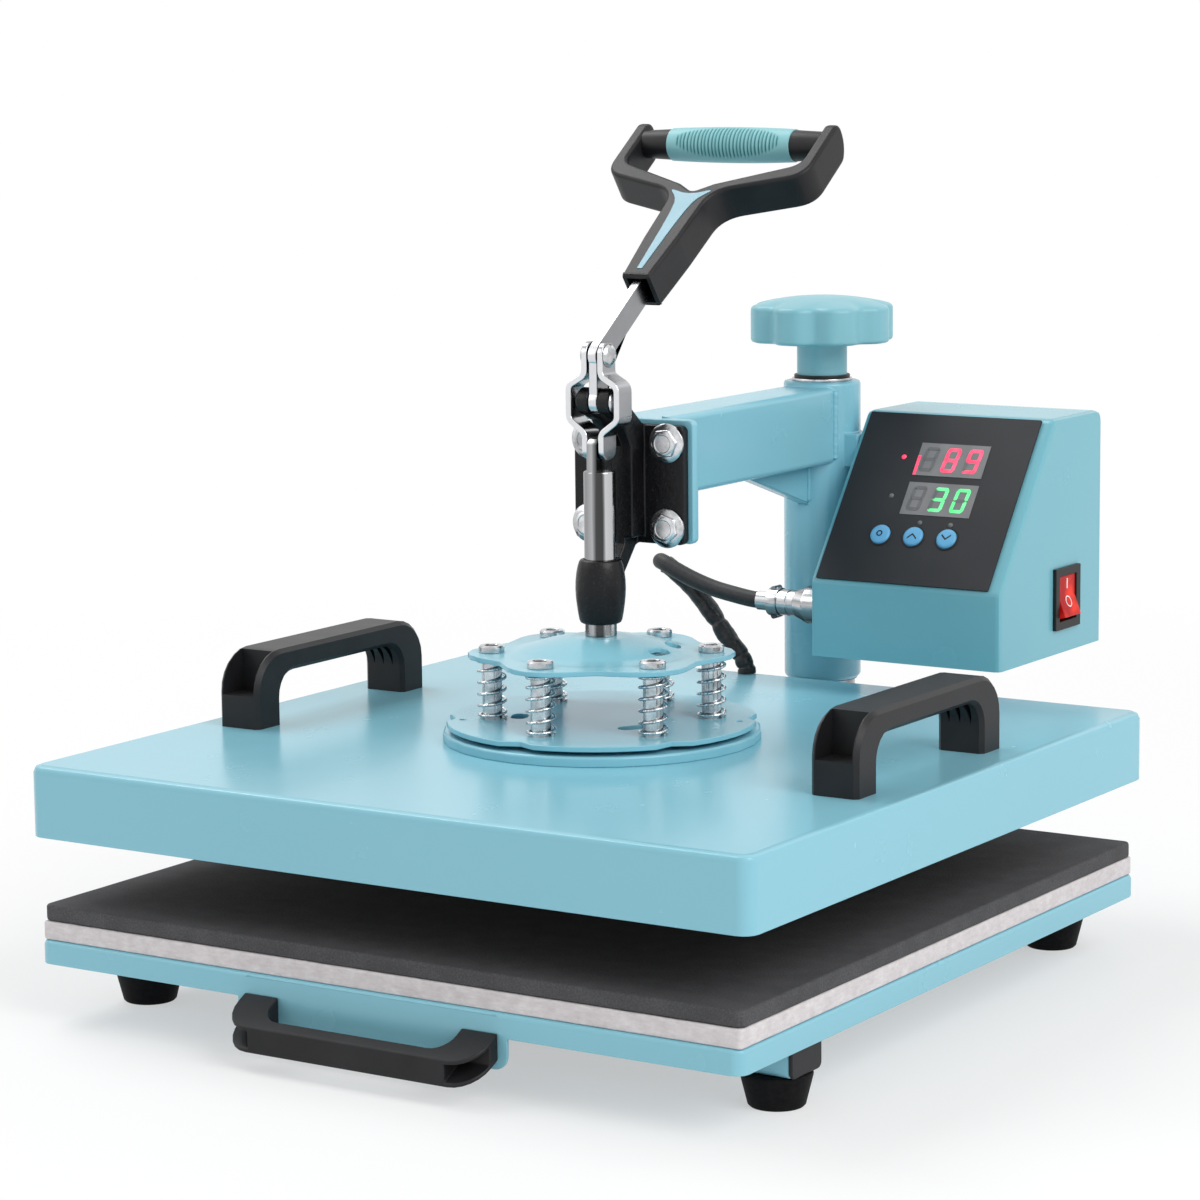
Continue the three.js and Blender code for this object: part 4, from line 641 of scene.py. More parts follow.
def softSlab(name, node, look):
    low, high = (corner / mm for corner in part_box(node))
    piece = box(name, low, high)
    bevelEdges(piece, look["corner"], 5, lambda a, b: abs(a.z - b.z) > 1)
    roundEdges(piece, look["edge"], 3, 60)
    beginEdit(piece)
    for axis in (0, 1):
        span = high[axis] - low[axis]
        for step in range(1, look["cuts"]):
            place = [0, 0, 0]
            place[axis] = (low[axis] + span * step / look["cuts"]) * mm
            normal = [0, 0, 0]
            normal[axis] = 1
            bpy.ops.mesh.select_all(action="SELECT")
            bpy.ops.mesh.bisect(plane_co=place, plane_no=normal)
    endEdit()
    top = high[2]

    def settle(point):
        lift = waver(point / look["waveSize"]) * look["wave"]
        across = max(abs(point.x) / high[0], abs(point.y) / high[1])
        sink = look["settle"] * (1 - across ** 2) if point.z > top - look["edge"] else 0
        if point.z > (low[2] + top) / 2:
            point.z += min(lift, 0) - sink
        side = waver(point / look["waveSize"] * 3 + Vector((7, 3, 1))) * look["wave"] * 0.6
        if across > 0.99:
            point.x -= math.copysign(abs(side), point.x) * (abs(point.x) / high[0] > 0.99)
            point.y -= math.copysign(abs(side), point.y) * (abs(point.y) / high[1] > 0.99)
        return point

    reshape(piece, settle)
    return seat(piece, bodyOf[node], slotOf[node], None, [node], 50)


def makePads():
    softSlab("foamPad", "foam_pad", padLook)
    softSlab("feltUnderlay", "felt_underlay", feltLook)
    print("stage: pad and felt")


# column head: the knob, a turned cap whose rim is drawn in between eight lobes
knobLook = {
    "y": 214, "lobes": 8, "dip": 4.6, "steps": 128, "dipFrom": 14, "dipTo": 34,
    "cap": [
        (0, 239.8), (20, 239.8), (33, 239.8), (35.6, 239.8), (36.7, 240.2), (37.3, 240.9), (37.5, 241.9),
        (37.5, 245), (37.5, 250), (37.5, 256.4), (37.35, 257.3), (36.9, 258.1), (36.2, 258.7),
        (35.2, 259.15), (33.6, 259.6), (30.8, 260.25), (27, 261), (22, 261.85), (16, 262.65),
        (10, 263.15), (5, 263.4), (0, 263.45),
    ],
    "stem": [
        (0, 222.7), (13, 222.7), (13, 236.8), (13.6, 238.4), (15, 239.5), (17, 240), (17, 243), (0, 243),
    ],
}


def makeKnob():
    look = knobLook
    centre = Vector((0, look["y"], 0))
    cap = lathe("knobCap", look["cap"], centre, steps=look["steps"])

    def lobed(point):
        spoke = Vector((point.x, point.y - look["y"], 0))
        if spoke.length < look["dipFrom"]:
            return point
        angle = math.atan2(spoke.y, spoke.x)
        dip = ((1 - math.cos(look["lobes"] * angle)) / 2) ** 2
        share = min(1, (spoke.length - look["dipFrom"]) / (look["dipTo"] - look["dipFrom"])) ** 2
        spoke *= 1 - look["dip"] * dip * share / spoke.length
        return Vector((spoke.x, spoke.y + look["y"], point.z))

    reshape(cap, lobed)
    stem = lathe("knobStem", look["stem"], centre, steps=64)
    seat(joined("pressureKnob", cap, stem), "knob", "blue_plastic", None, ["pressure_knob"], 50)


# thrust washer: a bright disc under a dark ring
washerLook = {
    "disc": [
        (6.5, 219.5), (15.4, 219.5), (15.6, 219.8), (15.6, 220.7), (15.4, 221), (6.5, 221), (6.5, 219.5),
    ],
    "ring": [(6.5, 221), (14.2, 221), (14.5, 221.3), (14.5, 222.3), (14.2, 222.7), (6.5, 222.7), (6.5, 221)],
}


def makeWasher():
    place = (0, knobLook["y"], 0)
    disc = lathe("thrustWasher", washerLook["disc"], place, steps=64)
    seat(disc, "lift_collar", "zinc", None, ["thrust_washer"], 40)
    ring = lathe("washerRing", washerLook["ring"], place, steps=64)
    seat(ring, "lift_collar", "zinc", "black_plastic", [], 40)


# painted weld beads where the beam meets the sleeve and where the rib ends
weldLook = {
    "radius": 1.6, "thin": 1.1, "ripple": 0.07, "pitch": 3.2, "perRipple": 4, "fewest": 8,
    "lump": 0.22, "lumpSize": 5, "end": 0.4,
    "side": 15.2, "y": 200.6, "low": 180, "high": 215.5,
    "rib": (3.3, 194, 158, 177), "plate": (36, 180, 213), "under": (13, 36, 177.8),
}


def weld(name, start, end, radius):
    look = weldLook
    start, end = Vector(start), Vector(end)
    count = max(look["fewest"], int((end - start).length / look["pitch"] * look["perRipple"]))
    way = [start.lerp(end, i / count) for i in range(count + 1)]
    widths = []
    for index, point in enumerate(way):
        ripple = look["ripple"] * math.sin(index * math.tau / look["perRipple"])
        widths.append(1 + ripple + look["lump"] * waver(point / look["lumpSize"]))
    widths[0] = widths[-1] = look["end"]
    seat(tube(name, way, radius, widths), "arm", "blue_paint", None, [], 60)


def makeWelds():
    look = weldLook
    ribX, ribY, ribLow, ribHigh = look["rib"]
    plateY, plateLow, plateHigh = look["plate"]
    for side, word in ((1, "Right"), (-1, "Left")):
        x, rib = look["side"] * side, ribX * side
        weld("armWeld" + word, (x, look["y"], look["low"]), (x, look["y"], look["high"]), look["radius"])
        weld("ribWeld" + word, (rib, ribY, ribLow), (rib, ribY, ribHigh), look["thin"])
        weld("plateWeld" + word, (x, plateY, plateLow), (x, plateY, plateHigh), look["thin"])
    x, y, z = look["under"]
    weld("beamWeldUnder", (-x, y, z), (x, y, z), look["thin"])


# toggle clamp: the barrel's casting and the polished rod that slides in it
barrelLook = {
    "profile": [
        (7.9, 121.6), (8.8, 121.6), (9.7, 122.1), (10.3, 123.4), (10.8, 126), (11.4, 130), (11.85, 134),
        (12.05, 138), (11.95, 142), (11.5, 146), (10.9, 149), (10.2, 151.2), (9.5, 152.1), (8.6, 152.4),
        (7.9, 152.4), (7.9, 121.6),
    ],
}
plungerLook = {
    "profile": [
        (0, 115.5), (7.3, 115.5), (7.6, 115.8), (7.6, 193.6), (7.35, 194.3), (6.7, 194.7), (0, 194.7),
        (0, 115.5),
    ],
    "tongue": [
        (-7.3, 190), (7.3, 190), (7.3, 208.1), (4.9, 210.5), (-4.9, 210.5), (-7.3, 208.1),
    ],
    "half": 2.7,
}


def makePlunger():
    look = plungerLook
    seat(lathe("clampBarrel", barrelLook["profile"], steps=64), "arm", "black_paint", None, [], 40)
    rodPiece = lathe("plungerRod", look["profile"], steps=64)
    tongue = slab("tongue", [(-look["half"], y, z) for y, z in look["tongue"]], (look["half"] * 2, 0, 0))
    roundEdges(tongue, 0.6, 3, 40)
    # the rod's look paints reflections on it as bands across its width
    seat(joined("plunger", rodPiece, tongue), "plunger", slotOf["plunger"], "rod", ["plunger"], 40)


# fastened rivets, bent link straps and bolts with flanges
rivetLook = {"dome": [(0, 2.1), (2.2, 2.0), (3.9, 1.5), (5.1, 0.7), (5.6, 0)], "shank": 3}


def makeRivet(name, node, body):
    low, high = (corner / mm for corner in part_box(node))
    middle = (low + high) / 2
    half = (high.x - low.x) / 2
    rise = rivetLook["dome"][0][1]
    dome = rivetLook["dome"] if half > 4 else [(0, rise), (rivetLook["shank"], 0)]
    base = half - rise
    profile = [(radius, base + height) for radius, height in dome] + [(rivetLook["shank"], base)]
    profile += [(radius, -height) for radius, height in reversed(profile)]
    seat(lathe(name, profile, middle, (1, 0, 0), 32), body, "zinc", None, [node], 35)


linkLook = {
    "thickness": 3, "half": 6, "bend": 4.5, "round": 5.6, "edge": 0.6,
    "inner": 4.5, "bulge": 13.5, "bends": (240, 235, 219, 212.6),
}


def makeLink(name, node, side):
    low, high = (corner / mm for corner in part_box(node))
    look = linkLook
    middleY = (low.y + high.y) / 2
    inner, bulge, half = look["inner"], look["bulge"], look["thickness"] / 2
    heights = (high.z, *look["bends"], low.z)
    way = zip((inner, inner, bulge, bulge, inner, inner), heights)
    way = rounded([(side * x, middleY - look["half"], z) for x, z in way], look["bend"])
    left, right = [], []
    for index, point in enumerate(way):
        before, after = way[max(index - 1, 0)], way[min(index + 1, len(way) - 1)]
        along = (after - before).normalized()
        across = Vector((along.z, 0, -along.x)) * half
        left.append(point + across)
        right.append(point - across)
    piece = slab(name, left + right[::-1], (0, look["half"] * 2, 0))

    def acrossEnd(a, b):
        atEnd = min(abs(a.z - low.z), abs(a.z - high.z)) < 0.01
        return atEnd and abs(a.z - b.z) < 0.01 and abs(a.y - b.y) < 0.01

    bevelEdges(piece, look["round"], 8, acrossEnd)
    roundEdges(piece, look["edge"], 3, 50)
    seat(piece, "links", "zinc", "link", [node], 40)


boltLook = {
    "places": [(-22, 206.2), (22, 206.2), (-22, 165.3), (22, 165.3)], "face": 25.2,
    "flange": [(0, 0), (9.45, 0), (9.45, 0.9), (8.9, 1.5), (7.2, 2.0), (6, 2.2), (0, 2.2)],
    "cap": [(0, 3.95), (4.1, 3.95), (4.5, 4.25), (5.2, 4.25), (5.9, 3.8), (5.9, 3), (0, 3)],
    "hexRadius": 7.4, "hexTop": 3.7, "hexTurn": 12,
}


def makeFlangeBolts():
    look = boltLook
    for index, (x, z) in enumerate(look["places"], 1):
        place = (x, look["face"], z)
        flange = lathe("flange", look["flange"], place, (0, -1, 0))
        cap = lathe("cap", look["cap"], place, (0, -1, 0))
        head = rod("head", look["hexRadius"], place, (x, look["face"] - look["hexTop"], z), 6)
        turn = Matrix.Rotation(math.radians(look["hexTurn"] * index), 4, "Y")
        middle = Matrix.Translation(Vector(place) * mm)
        head.data.transform(middle @ turn @ middle.inverted())
        roundEdges(head, 0.7, 3, 50)
        piece = joined(f"flangeBolt{index}", flange, cap, head)
        seat(piece, "arm", "zinc", None, [f"flange_bolt_{index}"], 35)


# springs and shoulder bolts on the bolt circle
circleLook = {"radius": 52.5, "count": 6, "first": 30, "low": 75.5, "high": 105}
springLook = {"mean": 6.4, "wire": 0.75, "closed": 0.9, "active": 4.5, "perTurn": 20, "travel": 7}
shoulderLook = {
    "profile": [
        (0, 75.5), (4.75, 75.5), (4.75, 107.5), (5.9, 107.5), (6.2, 107.8), (6.2, 110.2), (5.6, 110.9),
        (3.6, 110.9), (3.3, 110.6), (3.3, 109), (0, 108.6),
    ],
}


def circlePlaces():
    look = circleLook
    for index in range(look["count"]):
        angle = math.radians(look["first"] + 360 / look["count"] * index)
        yield index + 1, (look["radius"] * math.cos(angle), look["radius"] * math.sin(angle), 0)


def springWay():
    look = springLook
    low, high = circleLook["low"] + look["wire"], circleLook["high"] - look["wire"]
    turns = look["closed"] * 2 + look["active"]
    closedRise = look["wire"] * 2 * look["closed"]
    count = int(turns * look["perTurn"])
    for index in range(count + 1):
        turn = turns * index / count
        if turn < look["closed"]:
            height = low + closedRise * turn / look["closed"]
        elif turn > turns - look["closed"]:
            height = high - closedRise * (turns - turn) / look["closed"]
        else:
            share = (turn - look["closed"]) / look["active"]
            height = low + closedRise + (high - low - closedRise * 2) * share
        angle = math.tau * turn
        yield (look["mean"] * math.cos(angle), look["mean"] * math.sin(angle), height)


def makeSprings():
    first = tube("spring", list(springWay()), springLook["wire"], sides=3)
    bolt = lathe("shoulder", shoulderLook["profile"], steps=40)
    for index, place in circlePlaces():
        piece = copied(first, f"spring{index}", place)
        seat(piece, "platen", "steel", None, [f"spring_{index}"], 60)
        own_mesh(piece)
        head = copied(bolt, f"shoulderBolt{index}", place)
        seat(head, "platen", "zinc", None, [f"shoulder_bolt_{index}"], 35)
    bpy.data.objects.remove(first)
    bpy.data.objects.remove(bolt)


# handle: the blue stripe on the stem's front, and the ribbed sleeve on its bar
handleLook = {"mouth": (0, 38.67, 277.4), "along": (0, 0.809, 0.588), "out": (0, -0.588, 0.809), "face": 9.5}
limbLook = {
    "side": [
        (7.8, 0, 0.3), (10, 29, 40), (11.2, 65, 15), (57.5, 78.4, 13), (57.5, 120, 2.6),
        (50.5, 120, 2.6), (50.5, 87, 9), (9.7, 71, 6), (0, 64.6, 5),
    ],
    "top": 120, "roundFrom": 100, "crest": 4.5, "front": (5, 4), "back": (14, 12),
    "cuts": (-9, -8.2, -7.2, -6, -4.5, -2.7, -0.6, 2, 4.5, 5.8, 7, 7.9, 8.7),
    "edge": 1.9, "mouth": (5.6, 7.3, 18), "coreAt": (110, 2),
    "core": [
        (0, -51), (7, -51), (7.3, -44), (7.7, -35.5), (7.7, 35.5), (7.3, 44), (7, 51), (0, 51), (0, -51),
    ],
}
stripeLook = {
    "half": [
        (5, 1.4), (20, 2.1), (36, 2.9), (48, 3.9), (55, 5.0), (58.5, 6.4), (61.5, 8.6), (63.5, 10.6),
        (64.6, 11.2), (65, 10.4), (64, 7.6), (62.8, 4.4), (62.3, 0),
    ],
    "thickness": 0.45, "sunk": 0.15, "edge": 0.15,
}
gripLook = {
    "v": 110, "w": 2, "half": 35.5, "rings": 160, "radii": [8.15, 8.75, 8.9, 8.75, 8.15], "pitch": 2.05,
    "depth": 0.55, "ribHalf": 30.5, "ribAngle": 62, "ribLean": -38, "edge": 1.1,
    "fade": 9, "crest": 1.6, "lift": 0.1,
}


def rectangle(left, right, low, high):
    return [(left, low), (right, low), (right, high), (left, high)]


def handlePoint(x, v, w):
    look = handleLook
    return Vector(look["mouth"]) + Vector((x, 0, 0)) + Vector(look["along"]) * v + Vector(look["out"]) * w


def makeHandle():
    look = limbLook
    corners = look["side"] + [(-x, v, bend) for x, v, bend in look["side"][-2::-1]]
    face = -handleLook["face"]
    places = [handlePoint(x, v, face) for x, v, _ in corners]
    outline = rounded(places, [bend for *_, bend in corners], 8, True)
    piece = slab("handleBody", outline, Vector(handleLook["out"]) * (handleLook["face"] * 2))
    roundEdges(piece, look["edge"], 4, 50)
    along, out = Vector(handleLook["along"]), Vector(handleLook["out"])
    beginEdit(piece)
    for w in look["cuts"]:
        bpy.ops.mesh.select_all(action="SELECT")
        bpy.ops.mesh.bisect(plane_co=handlePoint(0, 0, w) * mm, plane_no=out)
    endEdit()

    def roundTop(point):
        offset = point - Vector(handleLook["mouth"])
        v, w = offset.dot(along), offset.dot(out)
        if v < look["roundFrom"]:
            return point
        width, drop = look["front"] if w > look["crest"] else look["back"]
        share = min(1, abs(w - look["crest"]) / width)
        fall = drop * (1 - (1 - share ** 2) ** 0.5)
        return point - along * fall * (v - look["roundFrom"]) / (look["top"] - look["roundFrom"])

    reshape(piece, roundTop)
    halfX, halfW, deep = look["mouth"]
    mouth = [handlePoint(x, v, -halfW) for x, v in rectangle(-halfX, halfX, -1, deep)]
    cutOut(piece, slab("mouth", mouth, Vector(handleLook["out"]) * (halfW * 2)))
    core = lathe("core", look["core"], handlePoint(0, *look["coreAt"]), (1, 0, 0), 40)
    seat(joined("tHandle", piece, core), "lever", "black_plastic", None, ["t_handle"], 40)


def makeStripe():
    look = stripeLook
    base = handleLook["face"] - look["sunk"]
    right = [handlePoint(half, v, base) for v, half in look["half"]]
    left = [handlePoint(-half, v, base) for v, half in look["half"][-2::-1]]
    piece = slab("handleStripe", right + left, Vector(handleLook["out"]) * look["thickness"])
    roundEdges(piece, look["edge"], 2, 60)
    seat(piece, "lever", "blue_plastic", "stripe", [], 35)


def gripRadius(share):
    radii = gripLook["radii"]
    return radii[0] + (radii[2] - radii[0]) * (1 - (2 * share - 1) ** 2)


def makeGrip():
    look = gripLook
    rings = [(index / look["rings"]) for index in range(look["rings"] + 1)]
    profile = [(0, -look["half"]), (gripRadius(0) - look["edge"], -look["half"])]
    profile += [(gripRadius(share), (share * 2 - 1) * (look["half"] - look["edge"] / 2)) for share in rings]
    profile += [(gripRadius(1) - look["edge"], look["half"]), (0, look["half"])]
    centre = handlePoint(0, look["v"], look["w"])
    piece = lathe("gripSleeve", profile, centre, (1, 0, 0), 72)
    front = Vector(handleLook["out"])
    up = Vector(handleLook["along"])
    depths = []

    def carve(point):
        offset = point - centre
        x = offset.x
        spoke = Vector((0, offset.y, offset.z))
        depth = 0
        if spoke.length > 1 and abs(x) < look["ribHalf"]:
            angle = math.degrees(math.atan2(spoke.dot(up), spoke.dot(front))) - look["ribLean"]
            reach = look["ribAngle"] * (1 - (x / look["ribHalf"]) ** 2) ** 0.5
            inside = min(1, max(0, (reach - abs(angle)) / look["fade"]))
            wave = math.cos(math.tau * x / look["pitch"])
            depth = inside * min(1, max(0, wave * look["crest"] + look["lift"]))
        depths.append(depth)
        spoke *= 1 - depth * look["depth"] / max(spoke.length, 1)
        return centre + Vector((x, spoke.y, spoke.z))

    reshape(piece, carve)
    # the rib depth also sets the painted shade in the rib floors
    rib = piece.data.attributes.new("rib", "FLOAT", "POINT")
    rib.data.foreach_set("value", depths)
    seat(piece, "lever", "teal_grip", None, ["grip_sleeve"], 60)


# control panel: film, two displays of three digits, lamps, and the press buttons
slope = {"foot": (0, 155, 124), "along": (0, 0.5978, 0.8017), "out": (0, -0.8017, 0.5978)}
panelLook = {
    "left": 29.7, "right": 127.1, "low": 0.9, "high": 99.5, "corner": 0.8, "thickness": 1, "lift": 0.3,
    "edge": 0.2,
}
displays = {
    "temperature": {"x": (65, 104), "s": (63.5, 82.5), "digits": "-89", "lit": "red"},
    "time": {"x": (65, 104.3), "s": (40.6, 59.4), "digits": "-30", "lit": "green"},
}
digitLook = {
    "width": 8.0, "height": 14.2, "bar": 1.9, "gap": 0.28, "lean": 0.1, "pitch": 12.3, "first": 6.9,
    "window": 0.25, "film": 0.12, "sliver": (0.1, 1.7, 0.2, 11.5), "sliverFilm": 0.1,
}
segmentsOf = {"8": "abcdefg", "9": "abcfgd", "3": "abcdg", "0": "abcdef", "-": ""}
lampLook = {
    "radius": 1.35, "dome": [(0, 0.75), (0.5, 0.65), (0.85, 0.35), (1, 0), (0, 0)],
    "places": [(57.0, 73.7, "red"), (57.1, 50.8, "dim"), (78.0, 36.3, "dim"), (95.4, 36.1, "dim")],
}
buttonLook = {
    "x": (58.3, 77.0, 95.8), "s": 28,
    "profile": [(0, 2.9), (3.6, 2.86), (4.7, 2.66), (5.3, 2.2), (5.5, 1.2), (0, 1.2)],
    "ring": [(5.6, 1.2), (5.6, 1.62), (5.8, 1.75), (6.2, 1.75), (6.5, 1.5), (6.5, 1.2)],
    "markLift": 2.8, "markFilm": 0.16, "dot": [(1.7, 0), (1.7, 0.16), (1.0, 0.16), (1.0, 0), (1.7, 0)],
    "marks": {
        2: [(-2.6, -1.1), (0, 1.3), (2.6, -1.1), (2.6, -2.1), (0, 0.3), (-2.6, -2.1)],
        3: [(-2.6, 1.1), (0, -1.3), (2.6, 1.1), (2.6, 2.1), (0, -0.3), (-2.6, 2.1)],
    },
}


def onPanel(x, s, lift):
    foot = Vector(slope["foot"]) + Vector((x, 0, 0))
    return foot + Vector(slope["along"]) * s + Vector(slope["out"]) * lift


def filmPiece(name, outline, lift, thickness):
    return slab(name, [onPanel(x, s, lift) for x, s in outline], Vector(slope["out"]) * thickness)


def makeFilm():
    look = panelLook
    corners = rectangle(look["left"], look["right"], look["low"], look["high"])
    outline = rounded([(x, s, 0) for x, s in corners], look["corner"], 5, True)
    piece = filmPiece("controlPanel", [(p.x, p.y) for p in outline], look["lift"], look["thickness"])
    roundEdges(piece, look["edge"], 2, 50)
    seat(piece, "arm", "panel_black", None, ["control_panel"], 35)


def segmentOutline(letter, x, s):
    look = digitLook
    halfW, halfH, bar = look["width"] / 2, look["height"] / 2, look["bar"] / 2
    gap = look["gap"]
    flat = {"a": halfH - bar, "g": 0, "d": -(halfH - bar)}
    if letter in flat:
        u, v = 0, flat[letter]
        long = halfW - bar - gap
        points = [(-long - bar, 0), (-long, bar), (long, bar), (long + bar, 0), (long, -bar), (-long, -bar)]
    else:
        u = (halfW - bar) * (1 if letter in "bc" else -1)
        v = (halfH - bar) / 2 * (1 if letter in "bf" else -1)
        long = (halfH - bar) / 2 - bar - gap + 0.6
        tip = long + bar * 0.7
        points = [(0, -tip), (bar, -long), (bar, long), (0, tip), (-bar, long), (-bar, -long)]
    return [(x + u + a + look["lean"] * (v + b), s + v + b) for a, b in points]


def makeDisplays():
    base = panelLook["lift"] + panelLook["thickness"]
    glass = digitLook["window"]
    for name, look in displays.items():
        window = filmPiece(name + "Window", rectangle(*look["x"], *look["s"]), base, glass)
        seat(window, "arm", "panel_black", "glass", [], 30)
        groups = {look["lit"]: [], "dim": []}
        middle = sum(look["s"]) / 2
        for index, digit in enumerate(look["digits"]):
            x = look["x"][0] + digitLook["first"] + digitLook["pitch"] * index
            for letter in "abcdefg":
                shown = look["lit"] if letter in segmentsOf[digit] else "dim"
                outline = segmentOutline(letter, x, middle)
                groups[shown].append(filmPiece("bar", outline, base + glass, digitLook["film"]))
        for shown, bars in groups.items():
            seat(joined(f"{name}{shown.capitalize()}Bars", *bars), "arm", "panel_black", shown, [], 30)
    left, low = displays["temperature"]["x"][0], displays["temperature"]["s"][0]
    x1, x2, s1, s2 = digitLook["sliver"]
    outline = rectangle(left + x1, left + x2, low + s1, low + s2)
    sliver = filmPiece("temperatureGlow", outline, base + glass, digitLook["sliverFilm"])
    seat(sliver, "arm", "panel_black", "red", [], 30)


def makeLamps():
    base = panelLook["lift"] + panelLook["thickness"]
    for index, (x, s, look) in enumerate(lampLook["places"], 1):
        profile = [(lampLook["radius"] * share, height) for share, height in lampLook["dome"]]
        lamp = lathe(f"lamp{index}", profile, onPanel(x, s, base), slope["out"], 24)
        seat(lamp, "arm", "panel_black", look, [], 40)


def makeButtons():
    look = buttonLook
    s, marks = look["s"], look["marks"]
    for index, x in enumerate(look["x"], 1):
        profile = look["ring"] + look["ring"][:1]
        ring = lathe(f"buttonRing{index}", profile, onPanel(x, s, 0), slope["out"], 40)
        seat(ring, "arm", "panel_black", "black_plastic", [], 40)
        cap = lathe(f"pushButton{index}", look["profile"], onPanel(x, s, 0), slope["out"], 40)
        seat(cap, f"button_{index}", "blue_button", None, [f"push_button_{index}"], 45)
        if index in marks:
            outline = [(x + a, s + b) for a, b in marks[index]]
            mark = filmPiece(f"buttonMark{index}", outline, look["markLift"], look["markFilm"])
        else:
            place = onPanel(x, s, look["markLift"])
            mark = lathe(f"buttonMark{index}", look["dot"], place, slope["out"], 28)
        seat(mark, f"button_{index}", "panel_black", "black_plastic", [], 35)


# the two marks on the rocker: a bar above and a ring below, laid on the lens
rockerLook = {
    "y": 228, "barZ": 120.4, "ringZ": 111.2, "bar": (0.55, 2.6), "ring": (2.7, 0.6), "height": 0.12,
    "outside": 150, "sunk": 0.05,
}


def makeRockerMarks():
    look = rockerLook
    sunk = look["sunk"]
    start, normal = hitOn("rocker_switch", (look["outside"], look["y"], look["barZ"]), (-1, 0, 0))
    side = Vector((0, 1, 0))
    rise = normal.cross(side).normalized()
    halfY, halfZ = look["bar"]
    corners = [start + side * a + rise * b for a, b in rectangle(-halfY, halfY, -halfZ, halfZ)]
    bar = slab("rockerBarMark", [corner - normal * sunk for corner in corners], normal * look["height"])
    seat(bar, "rocker", "red_lens", "white", [], 35)
    start, normal = hitOn("rocker_switch", (look["outside"], look["y"], look["ringZ"]), (-1, 0, 0))
    radius, width = look["ring"]
    profile = rectangle(radius - width / 2, radius + width / 2, 0, look["height"] + sunk)
    ring = lathe("rockerRingMark", profile + profile[:1], start - normal * sunk, normal, 32)
    seat(ring, "rocker", "red_lens", "white", [], 35)


# connector: knurled nut, stepped barrel and the clamp that grips the cable
plugLook = {
    "y": 170, "z": 108.5, "steps": 96, "knurl": 0.3, "knurlFrom": 6.9, "knurlTo": 17.8, "row": 0.85,
    "lug": {"left": -5, "right": 0.6, "halfY": 2.6, "out": 6.2, "halfZ": 1.6, "edge": 1.1},
    "screw": {"radius": 1.5, "x": -2.2, "halfY": 3.4, "out": 7.0},
    "nut": [
        (6.4, 25.9), (9.4, 25.9), (9.6, 25.6), (9.6, 18.2), (9.5, 17.6), (9.2, 16.8), (8.8, 15.9),
        (8.4, 15), (8, 14.1), (7.6, 13.2), (7.3, 12.3), (7.0, 11.4), (6.8, 10.6), (6.4, 10.2),
    ],
    "barrel": [
        (6.4, 21.5), (6.6, 21.2), (6.6, 12.6), (6.25, 12.3), (6.25, 11.9), (6.75, 11.6), (6.75, 7.4),
        (6.3, 7.0), (6.3, 6.4), (6.75, 6.0), (6.75, 1.2), (6.2, 0.8), (5.4, 0.4), (5.4, -6), (5, -6.4),
        (5, -12.4), (0, -12.4),
    ],
    "band": [(5.6, 1.2), (7.3, 1.0), (7.5, 0.4), (7.5, -4.6), (7.3, -5.2), (5.6, -5.4), (5.6, 1.2)],
}


def makePlug():
    look = plugLook
    place = (0, look["y"], look["z"])
    nut = lathe("nut", look["nut"], place, (1, 0, 0), look["steps"])
    centre = Vector(place)

    def knurl(point):
        spoke = Vector((0, point.y - centre.y, point.z - centre.z))
        angle = math.atan2(spoke.z, spoke.y) / math.tau * look["steps"]
        if spoke.length > look["knurlFrom"] and point.x < look["knurlTo"]:
            row = round((look["nut"][0][1] - point.x) / look["row"])
            spoke *= 1 + look["knurl"] * ((round(angle) + row) % 2) / spoke.length
        return centre + Vector((point.x, spoke.y, spoke.z))

    reshape(nut, knurl)
    barrel = lathe("barrel", look["barrel"], place, (1, 0, 0), 48)
    band = lathe("band", look["band"], place, (1, 0, 0), 48)
    lugs = []
    ear, screw, y = look["lug"], look["screw"], look["y"]
    for side in (1, -1):
        z = look["z"] + ear["out"] * side
        low = (ear["left"], y - ear["halfY"], z - ear["halfZ"])
        lug = box("lug", low, (ear["right"], y + ear["halfY"], z + ear["halfZ"]))
        roundEdges(lug, ear["edge"], 4, 50)
        lugs.append(lug)
        z = look["z"] + screw["out"] * side
        ends = [(screw["x"], y + halfY, z) for halfY in (-screw["halfY"], screw["halfY"])]
        lugs.append(rod("screw", screw["radius"], *ends, 20))
    # the plug's look paints a highlight along its top and shade towards its bottom
    seat(joined("connectorPlug", nut, barrel, band, *lugs), "arm", "zinc", "plug", ["connector_plug"], 32)


# cable: the jacket's loop from the plug, then a wrinkled sleeve down to the cover; both ride on the arm,
# so the lower end doesn't follow the heater when it goes down or floats up
cableLook = {
    "radius": 4.3, "sleeve": 4.8, "steps": 8, "crumple": 0.5, "creaseSize": 6, "flatTo": 67, "fade": 4,
    "folds": (0.46, 0.74, 0.87), "foldWidth": 0.018, "foldDepth": 0.12, "lump": 0.03, "lumpStep": 0.2,
    "way": [
        (-12.0, 170, 108.5), (-18, 170.2, 108.9), (-28, 171, 110.2), (-41, 172.5, 112.2),
        (-54.2, 174, 115.6), (-66, 175.6, 119.6), (-74.5, 177.6, 122.6), (-79.5, 181.6, 122.8),
        (-77.5, 186.4, 119.8), (-68.5, 188.4, 112.4), (-58.8, 188.2, 103.6), (-51.5, 187.4, 96.3),
        (-44.6, 186.8, 88), (-37.2, 186.5, 79.6), (-32.6, 186.5, 74.2), (-30.2, 186.5, 69.6),
        (-30, 186.5, 66.3),
    ],
    "sleeveFrom": 8,
}


